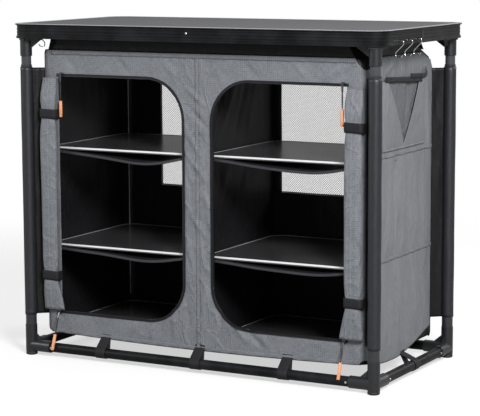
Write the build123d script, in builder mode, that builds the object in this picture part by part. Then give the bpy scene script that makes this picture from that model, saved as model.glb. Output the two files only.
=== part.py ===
from build123d import *
import os
from math import asin, atan2, degrees, hypot

# Camping cupboard: a tabletop on four legs, a frame of rails at the floor, and a hanging fabric
# body with two rolled-up doors and three levels of shelves.
# Millimetres, +Z up, +X to the right, -Y to the front; the origin is the middle of the footprint.

os.makedirs("parts", exist_ok=True)

SIDES_X = {"left": -1, "right": 1}
SIDES_Y = {"front": -1, "back": 1}

# Tabletop
TOP_WIDTH = 1030.0
TOP_DEPTH = 520.0
TOP_HEIGHT = 850.0
TOP_CORNER_R = 50.0
PANEL_THICK = 4.6
PANEL_FIT = 0.3

# Rim extrusion: a lip over the panel's edge, a recessed band and an inward bead below
RIM_HEIGHT = 37.0
RIM_WALL = 2.5
RIM_LIP_THICK = 1.6
RIM_LIP_COVER = 8.0
RIM_BAND_RECESS = 4.0
RIM_LEDGE_WIDTH = 6.0
RIM_LEDGE_THICK = 2.0
RIM_BEAD_PROUD = 2.0
RIM_BEAD_HEIGHT = 6.0
RIM_FOOT_WIDTH = 7.0
RIM_GROOVE_DEPTH = 0.9
RIM_GROOVE_HEIGHT = 2.4
RIM_GROOVE_DROPS = (9.0, 17.0, 25.0)
RIM_GROOVE_SLOPE = 0.7
RIM_EDGE = 0.8
RIM_LIP_DROP = 3.4
RIM_LIP_SLOPE = 1.2
RIM_BEAD_SLOPE = 1.5

# Brace under the panel, and the rivets that hold it
BRACE_WIDTH = 24.0
BRACE_HEIGHT = 14.0
BRACE_WALL = 1.4
BRACE_R = 2.0
RIVET_HEAD_R = 3.0
RIVET_HEAD_HIGH = 1.5
RIVET_DOME_R = 1.2
RIVET_SHANK_R = 1.6
RIVET_FIT = 0.05
RIVET_GRIP = 4.0

# Splice where the rim's two ends meet
SPLICE_Y = -22.0
SPLICE_WIDTH = 6.0
SPLICE_HEIGHT = 20.0
SPLICE_PROUD = 0.8
SPLICE_PLATE_WIDTH = 34.0
SPLICE_PLATE_THICK = 2.0
SPLICE_PLATE_R = 2.0

# Legs: a lower tube that stands on the corner connector's spigot, and an insert tube from the top
LEG_INSET_X = 33.0
LEG_INSET_Y = 33.0
LEG_R = 14.0
INSERT_R = 12.5
TUBE_WALL = 1.4
TUBE_FIT = 0.05
LEG_TOP_DROP = 104.0
LEG_TOP_Z = TOP_HEIGHT - LEG_TOP_DROP
INSERT_DEPTH = 96.0

# Sockets under the tabletop's corners
SOCKET_R = 15.0
SOCKET_DROP = 82.0
SOCKET_BOTTOM_Z = TOP_HEIGHT - SOCKET_DROP
SOCKET_BORE_DEPTH = 37.0
SOCKET_ARM_WIDTH = 18.0
SOCKET_ARM_REACH = 43.0
SOCKET_ARM_DROP = 5.0
SOCKET_FIT = 0.3

# Three-way connectors at the floor
CONNECTOR_R = 15.0
CONNECTOR_SKIRT = 1.0
CONNECTOR_TOP_Z = 79.0
CONNECTOR_ARM = 61.0
RAIL_SEAT = 40.0
SPIGOT_LENGTH = 55.0
SPIGOT_BORE_R = 9.5
SPIGOT_EDGE = 1.0
CONNECTOR_EDGE_R = 0.8
GUSSET_RUN = 20.0
GUSSET_RISE = 17.0
GUSSET_THICK = 5.0

# Feet
FOOT_R = 15.0
FOOT_EDGE_R = 4.0
FOOT_STEM_R = 9.0
FOOT_STEM_LENGTH = 14.0
FOOT_WAIST = 1.0

# Bottom rails and their rivets
RAIL_R = 12.5
RAIL_Z = 24.0
RAIL_RIVET_INSET = 6.0

# Fabric body: outer faces of the walls, set in from the legs' axes
BODY_SIDE_GAP = 30.0
BODY_FRONT_GAP = 22.0
BODY_HALF_W = TOP_WIDTH / 2 - LEG_INSET_X - BODY_SIDE_GAP
BODY_HALF_D = TOP_DEPTH / 2 - LEG_INSET_Y - BODY_FRONT_GAP
BODY_CORNER_R = 22.0
BODY_BOTTOM_Z = 60.0
BODY_TOP_DROP = 67.0
BODY_TOP_Z = TOP_HEIGHT - BODY_TOP_DROP
CLOTH = 2.0
SEAM_WIDTH = 9.0
SEAM_PROUD = 0.6
SIDE_SAG = 15.0
# Where the walls' corners are cut: setbacks along X, Y and Z
FRONT_TOP_CUTS = ((32.0, 32.0, 45.0),)
BACK_TOP_CUTS = ((40.0, 100.0, 34.0), (24.0, 46.0, 82.0))
FRONT_BOTTOM_CUTS = ((20.0, 20.0, 32.0),)
BACK_BOTTOM_CUTS = ((20.0, 24.0, 30.0),)
# The side walls' lower edge: its lowest point and where it ends at the back
SIDE_LOW_Y = -50.0
SIDE_RISE_Y = 40.0
SIDE_BACK_RISE = 28.0

# Band that closes the gap between the walls and the tabletop
BAND_END_SLANT = 25.0
BAND_TOP_GAP = 0.3
BAND_BRACE_GAP = 2.0

# Doors
DOOR_INNER_X = 42.0
DOOR_JAMB = 52.0
DOOR_SILL = 58.0
DOOR_HEAD = 65.0
DOOR_OUTER_X = BODY_HALF_W - DOOR_JAMB
DOOR_BOTTOM_Z = BODY_BOTTOM_Z + DOOR_SILL
DOOR_TOP_Z = BODY_TOP_Z - DOOR_HEAD
DOOR_R = 100.0

# Zip tape round each door
TAPE_WIDTH = 9.0
TAPE_THICK = 1.2
TAPE_REACH = 26.0

# Rolled doors
ROLL_INSET = 28.0
ROLL_MIDDLE_X = BODY_HALF_W - ROLL_INSET
ROLL_WIDTH = 50.0
ROLL_DEPTH = 25.0
ROLL_PINCH = 5.0
ROLL_GAP = 0.3
ROLL_END_GAP = 4.0
ROLL_CORNER_SHARE = 0.4

# Straps round the rolled doors
DOOR_STRAP_RISE = 92.0
DOOR_STRAP_DROP = 95.0
DOOR_STRAP_ZS = (DOOR_BOTTOM_Z + DOOR_STRAP_RISE, DOOR_TOP_Z - DOOR_STRAP_DROP)
DOOR_STRAP_HEIGHT = 24.0
WEBBING = 1.5
WEBBING_FIT = 0.3
DOOR_STRAP_R = 8.0

# Mesh window in the back wall
WINDOW_MARGIN = 112.0
WINDOW_HEAD = 43.0
WINDOW_HEIGHT = 338.0
WINDOW_HALF_W = BODY_HALF_W - WINDOW_MARGIN
WINDOW_TOP_Z = BODY_TOP_Z - WINDOW_HEAD
WINDOW_BOTTOM_Z = WINDOW_TOP_Z - WINDOW_HEIGHT
MESH_THICK = 1.0
MESH_COLUMNS = 24
MESH_ROWS = 12
MESH_STRAND = 3.0
MESH_BORDER = 6.0

# Shelves
# Heights of the boards' tops over the body's bottom, the upper two as shares of its height
SHELF_RISE = 15.0
SHELF_SHARES = {"middle": 228.0 / 723.0, "upper": 477.0 / 723.0}
SHELF_TOPS = {
    "lower": BODY_BOTTOM_Z + SHELF_RISE,
    "middle": BODY_BOTTOM_Z + SHELF_SHARES["middle"] * (BODY_TOP_Z - BODY_BOTTOM_Z),
    "upper": BODY_BOTTOM_Z + SHELF_SHARES["upper"] * (BODY_TOP_Z - BODY_BOTTOM_Z),
}
BOARD_THICK = 6.0
BOARD_MARGIN = 8.0
BOARD_FRONT_GAP = 15.0
BOARD_BACK_GAP = 14.0
BOARD_R = 38.0
BOARD_FRONT_R = 6.0
BOARD_EDGE = 0.6
REST_GAP = 0.3
FLOOR_THICK = 2.0
DIVIDER_THICK = 3.0
SLING_THICK = 1.5
SLING_LEDGE = 30.0
SLING_SAG = 26.0
SLING_FRONT_GAP = 8.0

# Sleeves round the legs, each joined to the body's corner by a web
SLEEVE_THICK = 1.2
SLEEVE_FIT = 0.3
SLEEVE_RISE = 27.0
SLEEVE_TOP_DROP = 6.0
SLEEVE_BOTTOM_Z = CONNECTOR_TOP_Z + SLEEVE_RISE
SLEEVE_TOP_Z = LEG_TOP_Z - SLEEVE_TOP_DROP
SLEEVE_HEM = 8.0
SLEEVE_HEM_PROUD = 0.8
WEB_TOP_DROP = 14.0

# Straps that tie the body to the rails
RAIL_STRAP_WIDTH = 28.0
RAIL_STRAP_XS = (-268.0, 4.0, 246.0)
RAIL_STRAP_YS = (8.0,)

# Pocket on the right wall
POCKET_FRONT_Y = -149.0
POCKET_BACK_Y = 131.0
POCKET_HEAD = 55.0
POCKET_HEIGHT = 172.0
POCKET_TOP_Z = BODY_TOP_Z - POCKET_HEAD
POCKET_BOTTOM_Z = POCKET_TOP_Z - POCKET_HEIGHT
POCKET_MOUTH = 11.0
POCKET_WALL = 1.5
POCKET_BULGE_SHARE = 0.8
POCKET_HEEL = 6.0
BINDING_HEIGHT = 10.0
BINDING_PROUD = 0.8

# Zip sliders and pulls
SLIDER_WIDTH = 9.0
SLIDER_HEIGHT = 10.0
SLIDER_THICK = 3.0
SLIDER_GAP = 0.3
SLIDER_CORNER_R = 2.0
EAR_THICK = 1.6
EAR_HEIGHT = 4.0
EAR_DEPTH = 4.0
PIN_R = 0.8
PIN_FIT = 0.07
BARREL_R = 1.7
TAB_WIDTH = 5.0
TAB_THICK = 1.4
TAB_LENGTH = 20.0
TAB_END_R = 1.5
TAB_KNOT = 3.0
TAB_SIDE_GAP = 0.3
PULL_CORD_R = 1.1
GRIP_R = 3.3
GRIP_LENGTH = 41.0
GRIP_EDGE_R = 1.0
# The lower pulls lie over the front rail, this far clear of its straps
PULL_REST_GAP = 0.4
# For each slider: side, its X at rest past the door's outer edge, whether it runs on the top or bottom tape, and the drop
# from its pin to the grip
ZIPS = {
    "left_top": (-1, -9.0, "top", 53.0),
    "right_top": (1, -9.0, "top", 40.0),
    "left_bottom": (-1, 6.0, "bottom", 58.0),
    "right_bottom": (1, -4.0, "bottom", 40.0),
}

# Wire hooks in the rim's side bands: side and Y
HOOKS = {
    "right_front": (1, -156.0),
    "right_middle": (1, -103.0),
    "right_back": (1, -49.0),
    "left_front": (-1, -116.0),
}
HOOK_DROP = 27.0
HOOK_Z = TOP_HEIGHT - HOOK_DROP
HOOK_WIRE_R = 1.4
HOOK_HOLE_R = 3.0
HOOK_SEAT_GAP = 0.3
HOOK_HEEL = 5.2
HOOK_BULGE = 9.0
HOOK_SHANK_DROP = 8.0
HOOK_WAIST_IN = 10.5
HOOK_WAIST_DROP = 27.0
HOOK_BOTTOM_DROP = 37.4
HOOK_TOE_OUT = 4.0
HOOK_TIP = (7.0, 32.0)
HOOK_BENDS = (2.6, 4.0, 4.0, 4.0, 4.5, 5.0)

# Worked out from the sizes above
half_w = TOP_WIDTH / 2
half_d = TOP_DEPTH / 2
leg_x = half_w - LEG_INSET_X
leg_y = half_d - LEG_INSET_Y
connector_bottom_z = RAIL_Z - CONNECTOR_R - CONNECTOR_SKIRT
rim_bottom_z = TOP_HEIGHT - RIM_HEIGHT
band_half_w = half_w - RIM_BAND_RECESS
band_half_d = half_d - RIM_BAND_RECESS
band_inner_w = band_half_w - RIM_WALL
band_inner_d = band_half_d - RIM_WALL
panel_top_z = TOP_HEIGHT - RIM_LIP_THICK
panel_bottom_z = panel_top_z - PANEL_THICK
ledge_bottom_z = panel_bottom_z - RIM_LEDGE_THICK
tube_bore_r = INSERT_R + TUBE_FIT
front_y = -BODY_HALF_D
inner_half_w = BODY_HALF_W - CLOTH
inner_half_d = BODY_HALF_D - CLOTH
floor_top_z = SHELF_TOPS["lower"] - BOARD_THICK - REST_GAP
tape_front_y = front_y - TAPE_THICK
hook_hole_z = HOOK_Z - HOOK_WIRE_R - HOOK_SEAT_GAP + HOOK_HOLE_R
sleeve_inner_r = LEG_R + SLEEVE_FIT
sleeve_outer_r = sleeve_inner_r + SLEEVE_THICK


def save(builder, label):
    """Label a finished piece and write its file."""
    builder.part.label = label
    export_step(builder.part, f"parts/{label}.step")


def corner_plane(side_x, side_y, edge_z, up, setback):
    """Plane that cuts one corner of the fabric body at three setbacks from it."""
    along_x, along_y, along_z = setback
    start = (side_x * (BODY_HALF_W - along_x), side_y * BODY_HALF_D, edge_z)
    return Plane(origin=start, z_dir=(side_x / along_x, side_y / along_y, up / along_z))


def trim_corners(inset=0.0):
    """Cut the body's eight corners off the piece being built, at an inset from their planes."""
    for side_x in SIDES_X.values():
        for side_y, top_cuts, bottom_cuts in (
            (-1, FRONT_TOP_CUTS, FRONT_BOTTOM_CUTS),
            (1, BACK_TOP_CUTS, BACK_BOTTOM_CUTS),
        ):
            for setback in top_cuts:
                cut = corner_plane(side_x, side_y, BODY_TOP_Z, 1, setback)
                split(bisect_by=cut.offset(-inset), keep=Keep.BOTTOM)
            for setback in bottom_cuts:
                cut = corner_plane(side_x, side_y, BODY_BOTTOM_Z, -1, setback)
                split(bisect_by=cut.offset(-inset), keep=Keep.BOTTOM)


# Tabletop panel, held under the rim's lip
with BuildPart() as tabletop_panel:
    with BuildSketch(Plane.XY.offset(panel_bottom_z)):
        RectangleRounded(
            2 * (band_inner_w - PANEL_FIT),
            2 * (band_inner_d - PANEL_FIT),
            TOP_CORNER_R - RIM_BAND_RECESS - RIM_WALL - PANEL_FIT,
        )
    extrude(amount=PANEL_THICK)
save(tabletop_panel, "tabletop_panel")


# Rim: one extrusion bent round the four corners; its profile runs from the lip down to the bead
def rim_profile():
    """Outline of the extrusion; x is outward from the lip's edge and y is up from its top."""
    band = -RIM_BAND_RECESS
    inner = band - RIM_WALL
    bead = band + RIM_BEAD_PROUD
    panel_seat = -RIM_LIP_THICK
    ledge = panel_seat - PANEL_THICK
    points = [
        (inner - RIM_LIP_COVER, 0),
        (-RIM_EDGE, 0),
        (0, -RIM_EDGE),
        (0, -RIM_LIP_DROP),
        (band, -RIM_LIP_DROP - RIM_LIP_SLOPE),
    ]
    for drop in RIM_GROOVE_DROPS:
        points += [
            (band, -drop),
            (band - RIM_GROOVE_DEPTH, -drop - RIM_GROOVE_SLOPE),
            (band - RIM_GROOVE_DEPTH, -drop - RIM_GROOVE_HEIGHT + RIM_GROOVE_SLOPE),
            (band, -drop - RIM_GROOVE_HEIGHT),
        ]
    points += [
        (band, -RIM_HEIGHT + RIM_BEAD_HEIGHT),
        (bead, -RIM_HEIGHT + RIM_BEAD_HEIGHT - RIM_BEAD_SLOPE),
        (bead, -RIM_HEIGHT + RIM_EDGE),
        (bead - RIM_EDGE, -RIM_HEIGHT),
        (bead - RIM_FOOT_WIDTH, -RIM_HEIGHT),
        (bead - RIM_FOOT_WIDTH, -RIM_HEIGHT + RIM_LEDGE_THICK),
        (inner, -RIM_HEIGHT + RIM_LEDGE_THICK),
        (inner, ledge - RIM_LEDGE_THICK),
        (inner - RIM_LEDGE_WIDTH, ledge - RIM_LEDGE_THICK),
        (inner - RIM_LEDGE_WIDTH, ledge),
        (inner, ledge),
        (inner, panel_seat),
        (inner - RIM_LIP_COVER, panel_seat),
    ]
    return points


with BuildPart() as tabletop_rim:
    with BuildLine(Plane.XY.offset(TOP_HEIGHT)) as rim_path:
        FilletPolyline(
            (half_w, half_d),
            (-half_w, half_d),
            (-half_w, -half_d),
            (half_w, -half_d),
            radius=TOP_CORNER_R,
            close=True,
        )
    rim_start = rim_path.wires()[0] @ 0
    rim_along = rim_path.wires()[0] % 0
    rim_outward = rim_along.cross(Vector(0, 0, 1))
    with BuildSketch(Plane(origin=rim_start, x_dir=rim_outward, z_dir=-rim_along)):
        with BuildLine():
            Polyline(*rim_profile(), close=True)
        make_face()
    sweep(path=rim_path.wires()[0])
    # Slot for the splice
    with BuildSketch(Plane.YZ.offset(band_half_w - 2 * RIM_WALL)):
        with Locations((SPLICE_Y, TOP_HEIGHT - RIM_HEIGHT / 2)):
            Rectangle(SPLICE_WIDTH, SPLICE_HEIGHT)
    extrude(amount=3 * RIM_WALL, mode=Mode.SUBTRACT)
    # Holes for the hooks
    for side, hook_y in HOOKS.values():
        with BuildSketch(Plane.YZ.offset(side * (band_half_w - 2 * RIM_WALL))):
            with Locations((hook_y, hook_hole_z)):
                Circle(HOOK_HOLE_R)
        extrude(amount=side * 3 * RIM_WALL, mode=Mode.SUBTRACT)
    # Rivet holes at the middle of the front and the back
    for side_y in SIDES_Y.values():
        with BuildSketch(Plane.XZ.offset(-side_y * (band_half_d - 2 * RIM_WALL))):
            with Locations((0, ledge_bottom_z - BRACE_HEIGHT / 2)):
                Circle(RIVET_SHANK_R + RIVET_FIT)
        extrude(amount=-side_y * 3 * RIM_WALL, mode=Mode.SUBTRACT)
save(tabletop_rim, "tabletop_rim")


# Splice: a strip that shows in the band's slot, on a plate behind it
with BuildPart() as rim_joint_insert:
    with BuildSketch(Plane.YZ.offset(band_inner_w - SPLICE_PLATE_THICK)):
        with Locations((SPLICE_Y, TOP_HEIGHT - RIM_HEIGHT / 2)):
            RectangleRounded(SPLICE_PLATE_WIDTH, SPLICE_HEIGHT, SPLICE_PLATE_R)
    extrude(amount=SPLICE_PLATE_THICK)
    with BuildSketch(Plane.YZ.offset(band_inner_w)):
        with Locations((SPLICE_Y, TOP_HEIGHT - RIM_HEIGHT / 2)):
            Rectangle(SPLICE_WIDTH, SPLICE_HEIGHT)
    extrude(amount=RIM_WALL + SPLICE_PROUD)
    chamfer(rim_joint_insert.faces().sort_by(Axis.X)[-1].edges(), SPLICE_PROUD / 2)
save(rim_joint_insert, "rim_joint_insert")


# Brace: a rectangular tube from front to back, under the panel
with BuildPart() as cross_brace:
    with BuildSketch(Plane.XZ.offset(-band_inner_d)):
        with Locations((0, ledge_bottom_z - BRACE_HEIGHT / 2)):
            RectangleRounded(BRACE_WIDTH, BRACE_HEIGHT, BRACE_R)
            RectangleRounded(
                BRACE_WIDTH - 2 * BRACE_WALL,
                BRACE_HEIGHT - 2 * BRACE_WALL,
                BRACE_R - BRACE_WALL,
                mode=Mode.SUBTRACT,
            )
    extrude(amount=2 * band_inner_d)
    # End plugs that take the rivets
    for side_y in SIDES_Y.values():
        with BuildSketch(Plane.XZ.offset(-side_y * band_inner_d)):
            with Locations((0, ledge_bottom_z - BRACE_HEIGHT / 2)):
                Rectangle(BRACE_WIDTH - BRACE_WALL, BRACE_HEIGHT - BRACE_WALL)
                Circle(RIVET_SHANK_R + RIVET_FIT, mode=Mode.SUBTRACT)
        extrude(amount=side_y * RIVET_GRIP)
save(cross_brace, "cross_brace")


def rivet(base, grip):
    """Domed rivet on a plane: the head stands on the plane and the shank goes down from it."""
    with BuildPart() as body:
        with BuildSketch(base):
            Circle(RIVET_HEAD_R)
        extrude(amount=RIVET_HEAD_HIGH)
        head_top = body.faces().sort_by(Axis(base.origin, base.z_dir))[-1]
        fillet(head_top.edges(), RIVET_DOME_R)
        with BuildSketch(base):
            Circle(RIVET_SHANK_R)
        extrude(amount=-grip)
    return body.part


def group(parts, label):
    """Save separate solids as one labelled piece."""
    whole = Compound(children=parts)
    whole.label = label
    export_step(whole, f"parts/{label}.step")


brace_z = ledge_bottom_z - BRACE_HEIGHT / 2
group(
    [
        rivet(
            Plane(origin=(0, side_y * band_half_d, brace_z), z_dir=(0, side_y, 0)),
            RIM_WALL + RIVET_GRIP,
        )
        for side_y in SIDES_Y.values()
    ],
    "rim_rivets",
)


# Sockets: a corner block inside the rim, two arms under it, and a tube that takes the insert
def top_socket(side_x, side_y):
    """Socket for the leg at one corner of the tabletop."""
    axis_x = side_x * leg_x
    axis_y = side_y * leg_y
    foot_inner_w = band_half_w + RIM_BEAD_PROUD - RIM_FOOT_WIDTH - SOCKET_FIT
    foot_inner_d = band_half_d + RIM_BEAD_PROUD - RIM_FOOT_WIDTH - SOCKET_FIT
    foot_top_z = rim_bottom_z + RIM_LEDGE_THICK + SOCKET_FIT
    inner_r = TOP_CORNER_R - RIM_BAND_RECESS - RIM_WALL
    foot_r = TOP_CORNER_R - RIM_BAND_RECESS + RIM_BEAD_PROUD - RIM_FOOT_WIDTH - SOCKET_FIT
    arm_bottom_z = rim_bottom_z - SOCKET_ARM_DROP
    with BuildPart() as socket:
        # Block above the rim's foot
        with BuildSketch(Plane.XY.offset(foot_top_z)):
            RectangleRounded(
                2 * (band_inner_w - SOCKET_FIT), 2 * (band_inner_d - SOCKET_FIT), inner_r - SOCKET_FIT
            )
            with Locations((axis_x + side_x * SOCKET_R, axis_y + side_y * SOCKET_R)):
                Rectangle(4 * SOCKET_R, 4 * SOCKET_R, mode=Mode.INTERSECT)
        extrude(amount=ledge_bottom_z - foot_top_z)
        # Arms along the rim, inside its foot
        with BuildSketch(Plane.XY.offset(arm_bottom_z)):
            RectangleRounded(2 * foot_inner_w, 2 * foot_inner_d, foot_r)
            with BuildSketch(Plane.XY, mode=Mode.INTERSECT):
                with Locations((axis_x, axis_y)):
                    Rectangle(2 * SOCKET_ARM_REACH, SOCKET_ARM_WIDTH)
                    Rectangle(SOCKET_ARM_WIDTH, 2 * SOCKET_ARM_REACH)
                    Circle(SOCKET_R + SOCKET_ARM_DROP)
        extrude(amount=foot_top_z - arm_bottom_z)
        # Webs from the tube up to the arms
        for plane, side, along in (
            (Plane(origin=(0, axis_y, 0), x_dir=(1, 0, 0), z_dir=(0, -1, 0)), side_x, axis_x),
            (Plane(origin=(axis_x, 0, 0), x_dir=(0, 1, 0), z_dir=(1, 0, 0)), side_y, axis_y),
        ):
            with BuildSketch(plane):
                Polygon(
                    (along, arm_bottom_z),
                    (along - side * SOCKET_ARM_REACH, arm_bottom_z),
                    (along - side * SOCKET_R, arm_bottom_z - GUSSET_RUN),
                    (along, arm_bottom_z - GUSSET_RUN),
                    align=None,
                )
            extrude(amount=GUSSET_THICK / 2, both=True)
        with BuildSketch(Plane.XY.offset(SOCKET_BOTTOM_Z)):
            with Locations((axis_x, axis_y)):
                Circle(SOCKET_R)
        extrude(amount=arm_bottom_z - SOCKET_BOTTOM_Z)
        rim = socket.faces().sort_by(Axis.Z)[0].edges()
        fillet(rim, (SOCKET_R - tube_bore_r) / 3)
        with BuildSketch(Plane.XY.offset(SOCKET_BOTTOM_Z)):
            with Locations((axis_x, axis_y)):
                Circle(tube_bore_r)
        extrude(amount=SOCKET_BORE_DEPTH, mode=Mode.SUBTRACT)
    return socket


for name_y, side_y in SIDES_Y.items():
    for name_x, side_x in SIDES_X.items():
        save(top_socket(side_x, side_y), f"top_socket_{name_y}_{name_x}")


def tube(axis_xy, bottom_z, top_z, outer_r, inner_r):
    """Upright round tube."""
    with BuildPart() as body:
        with BuildSketch(Plane.XY.offset(bottom_z)):
            with Locations(axis_xy):
                Circle(outer_r)
                Circle(inner_r, mode=Mode.SUBTRACT)
        extrude(amount=top_z - bottom_z)
    return body


# Insert tubes, fixed in the sockets and sliding in the legs
leg_axes = [
    (side_x * leg_x, side_y * leg_y) for side_y in SIDES_Y.values() for side_x in SIDES_X.values()
]
insert_bottom_z = LEG_TOP_Z - INSERT_DEPTH
insert_top_z = SOCKET_BOTTOM_Z + SOCKET_BORE_DEPTH
group(
    [
        tube(axis, insert_bottom_z, insert_top_z, INSERT_R, INSERT_R - TUBE_WALL).part
        for axis in leg_axes
    ],
    "leg_insert_tubes",
)

# Legs
for name_y, side_y in SIDES_Y.items():
    for name_x, side_x in SIDES_X.items():
        leg = tube((side_x * leg_x, side_y * leg_y), CONNECTOR_TOP_Z, LEG_TOP_Z, LEG_R, tube_bore_r)
        save(leg, f"leg_tube_{name_y}_{name_x}")


# Corner connectors: an upright post with a spigot, and two arms that take the rails
def corner_connector(side_x, side_y):
    """Connector that joins one leg to two rails."""
    axis_x = side_x * leg_x
    axis_y = side_y * leg_y
    with BuildPart() as body:
        with BuildSketch(Plane.XY.offset(connector_bottom_z)):
            with Locations((axis_x, axis_y)):
                Circle(CONNECTOR_R)
        extrude(amount=CONNECTOR_TOP_Z - connector_bottom_z)
        fillet(body.faces().sort_by(Axis.Z)[0].edges(), CONNECTOR_EDGE_R)
        with BuildSketch(Plane.XY.offset(CONNECTOR_TOP_Z)):
            with Locations((axis_x, axis_y)):
                Circle(INSERT_R)
        extrude(amount=SPIGOT_LENGTH)
        chamfer(body.faces().sort_by(Axis.Z)[-1].edges(), SPIGOT_EDGE)
        # Arms and their webs
        for inward in ((-side_x, 0, 0), (0, -side_y, 0)):
            plane = Plane(origin=(axis_x, axis_y, RAIL_Z), z_dir=inward)
            with BuildSketch(plane):
                Circle(CONNECTOR_R)
            extrude(amount=CONNECTOR_ARM)
        for plane, side, along in (
            (Plane(origin=(0, axis_y, 0), x_dir=(1, 0, 0), z_dir=(0, -1, 0)), side_x, axis_x),
            (Plane(origin=(axis_x, 0, 0), x_dir=(0, 1, 0), z_dir=(1, 0, 0)), side_y, axis_y),
        ):
            with BuildSketch(plane):
                Polygon(
                    (along, RAIL_Z),
                    (along, RAIL_Z + CONNECTOR_R + GUSSET_RISE),
                    (along - side * CONNECTOR_R, RAIL_Z + CONNECTOR_R + GUSSET_RISE),
                    (along - side * (CONNECTOR_R + GUSSET_RUN), RAIL_Z + CONNECTOR_R),
                    (along - side * (CONNECTOR_R + GUSSET_RUN), RAIL_Z),
                    align=None,
                )
            extrude(amount=GUSSET_THICK / 2, both=True)
        # Rail bores, the spigot's bore and the foot's
        for plane in (
            Plane(origin=(axis_x - side_x * CONNECTOR_ARM, axis_y, RAIL_Z), z_dir=(side_x, 0, 0)),
            Plane(origin=(axis_x, axis_y - side_y * CONNECTOR_ARM, RAIL_Z), z_dir=(0, side_y, 0)),
        ):
            with BuildSketch(plane):
                Circle(RAIL_R + TUBE_FIT)
            extrude(amount=RAIL_SEAT, mode=Mode.SUBTRACT)
        with BuildSketch(Plane.XY.offset(CONNECTOR_TOP_Z)):
            with Locations((axis_x, axis_y)):
                Circle(SPIGOT_BORE_R)
        extrude(amount=SPIGOT_LENGTH, mode=Mode.SUBTRACT)
        with BuildSketch(Plane.XY.offset(connector_bottom_z)):
            with Locations((axis_x, axis_y)):
                Circle(FOOT_STEM_R + TUBE_FIT)
        extrude(amount=FOOT_STEM_LENGTH + SOCKET_FIT, mode=Mode.SUBTRACT)
    return body


for name_y, side_y in SIDES_Y.items():
    for name_x, side_x in SIDES_X.items():
        save(corner_connector(side_x, side_y), f"corner_connector_{name_y}_{name_x}")


def foot(axis_xy):
    """Turned foot with a stem that plugs into the connector."""
    with BuildPart() as body:
        with BuildSketch(Plane(origin=(*axis_xy, 0), x_dir=(1, 0, 0), z_dir=(0, -1, 0))):
            with BuildLine():
                Polyline(
                    (0, connector_bottom_z + FOOT_STEM_LENGTH),
                    (0, 0),
                    (FOOT_R - FOOT_EDGE_R, 0),
                )
                RadiusArc(
                    (FOOT_R - FOOT_EDGE_R, 0), (FOOT_R, FOOT_EDGE_R), -FOOT_EDGE_R
                )
                Polyline(
                    (FOOT_R, FOOT_EDGE_R),
                    (FOOT_R - FOOT_WAIST, connector_bottom_z),
                    (FOOT_STEM_R, connector_bottom_z),
                    (FOOT_STEM_R, connector_bottom_z + FOOT_STEM_LENGTH),
                    (0, connector_bottom_z + FOOT_STEM_LENGTH),
                )
            make_face()
        revolve(axis=Axis((*axis_xy, 0), (0, 0, 1)))
    return body.part


group([foot(axis) for axis in leg_axes], "feet")


# Bottom rails, with a rivet hole near each end on the outer side
def bottom_rail(base, length, outward):
    """Round tube along the plane's normal, centred on its origin."""
    with BuildPart() as body:
        with BuildSketch(base):
            Circle(RAIL_R)
            Circle(RAIL_R - TUBE_WALL, mode=Mode.SUBTRACT)
        extrude(amount=length / 2, both=True)
        for end in (-1, 1):
            along = end * (length / 2 - RAIL_SEAT - RAIL_RIVET_INSET)
            seat = Plane(origin=base.origin + base.z_dir * along, z_dir=outward)
            with BuildSketch(seat):
                Circle(RIVET_SHANK_R + RIVET_FIT)
            extrude(amount=2 * RAIL_R, mode=Mode.SUBTRACT)
    return body


rail_half_x = leg_x - CONNECTOR_ARM + RAIL_SEAT
rail_half_y = leg_y - CONNECTOR_ARM + RAIL_SEAT
rail_rivets = []
for name, side in SIDES_Y.items():
    rail_plane = Plane(origin=(0, side * leg_y, RAIL_Z), z_dir=(1, 0, 0))
    save(bottom_rail(rail_plane, 2 * rail_half_x, (0, side, 0)), f"bottom_rail_{name}")
    for end in (-1, 1):
        rivet_x = end * (rail_half_x - RAIL_SEAT - RAIL_RIVET_INSET)
        seat = Plane(origin=(rivet_x, side * (leg_y + RAIL_R), RAIL_Z), z_dir=(0, side, 0))
        rail_rivets.append(rivet(seat, RIVET_GRIP))
for name, side in SIDES_X.items():
    rail_plane = Plane(origin=(side * leg_x, 0, RAIL_Z), z_dir=(0, 1, 0))
    save(bottom_rail(rail_plane, 2 * rail_half_y, (side, 0, 0)), f"bottom_rail_{name}")
    for end in (-1, 1):
        rivet_y = end * (rail_half_y - RAIL_SEAT - RAIL_RIVET_INSET)
        seat = Plane(origin=(side * (leg_x + RAIL_R), rivet_y, RAIL_Z), z_dir=(side, 0, 0))
        rail_rivets.append(rivet(seat, RIVET_GRIP))
group(rail_rivets, "rail_rivets")


# Fabric walls
def door_face(side, grow):
    """Door outline: square at the outer corners and round at the inner ones."""
    width = DOOR_OUTER_X - DOOR_INNER_X
    height = DOOR_TOP_Z - DOOR_BOTTOM_Z
    middle = ((DOOR_OUTER_X + DOOR_INNER_X) / 2, (DOOR_TOP_Z + DOOR_BOTTOM_Z) / 2)
    with BuildSketch() as face:
        with Locations((side * middle[0], middle[1])):
            Rectangle(width + 2 * grow, height + 2 * grow)
        inner = face.vertices().sort_by(Axis.X)
        fillet(inner[:2] if side > 0 else inner[-2:], DOOR_R + grow)
    return face.sketch


def end_wall(side_y):
    """Front or back wall, with its two rounded upright corners."""
    with BuildPart() as wall:
        with BuildSketch(Plane.XY.offset(BODY_BOTTOM_Z)):
            RectangleRounded(2 * BODY_HALF_W, 2 * BODY_HALF_D, BODY_CORNER_R)
            RectangleRounded(
                2 * inner_half_w, 2 * inner_half_d, BODY_CORNER_R - CLOTH, mode=Mode.SUBTRACT
            )
        extrude(amount=BODY_TOP_Z - BODY_BOTTOM_Z)
        straight_y = side_y * (BODY_HALF_D - BODY_CORNER_R)
        split(bisect_by=Plane(origin=(0, straight_y, 0), z_dir=(0, side_y, 0)), keep=Keep.TOP)
        trim_corners()
    return wall


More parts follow.
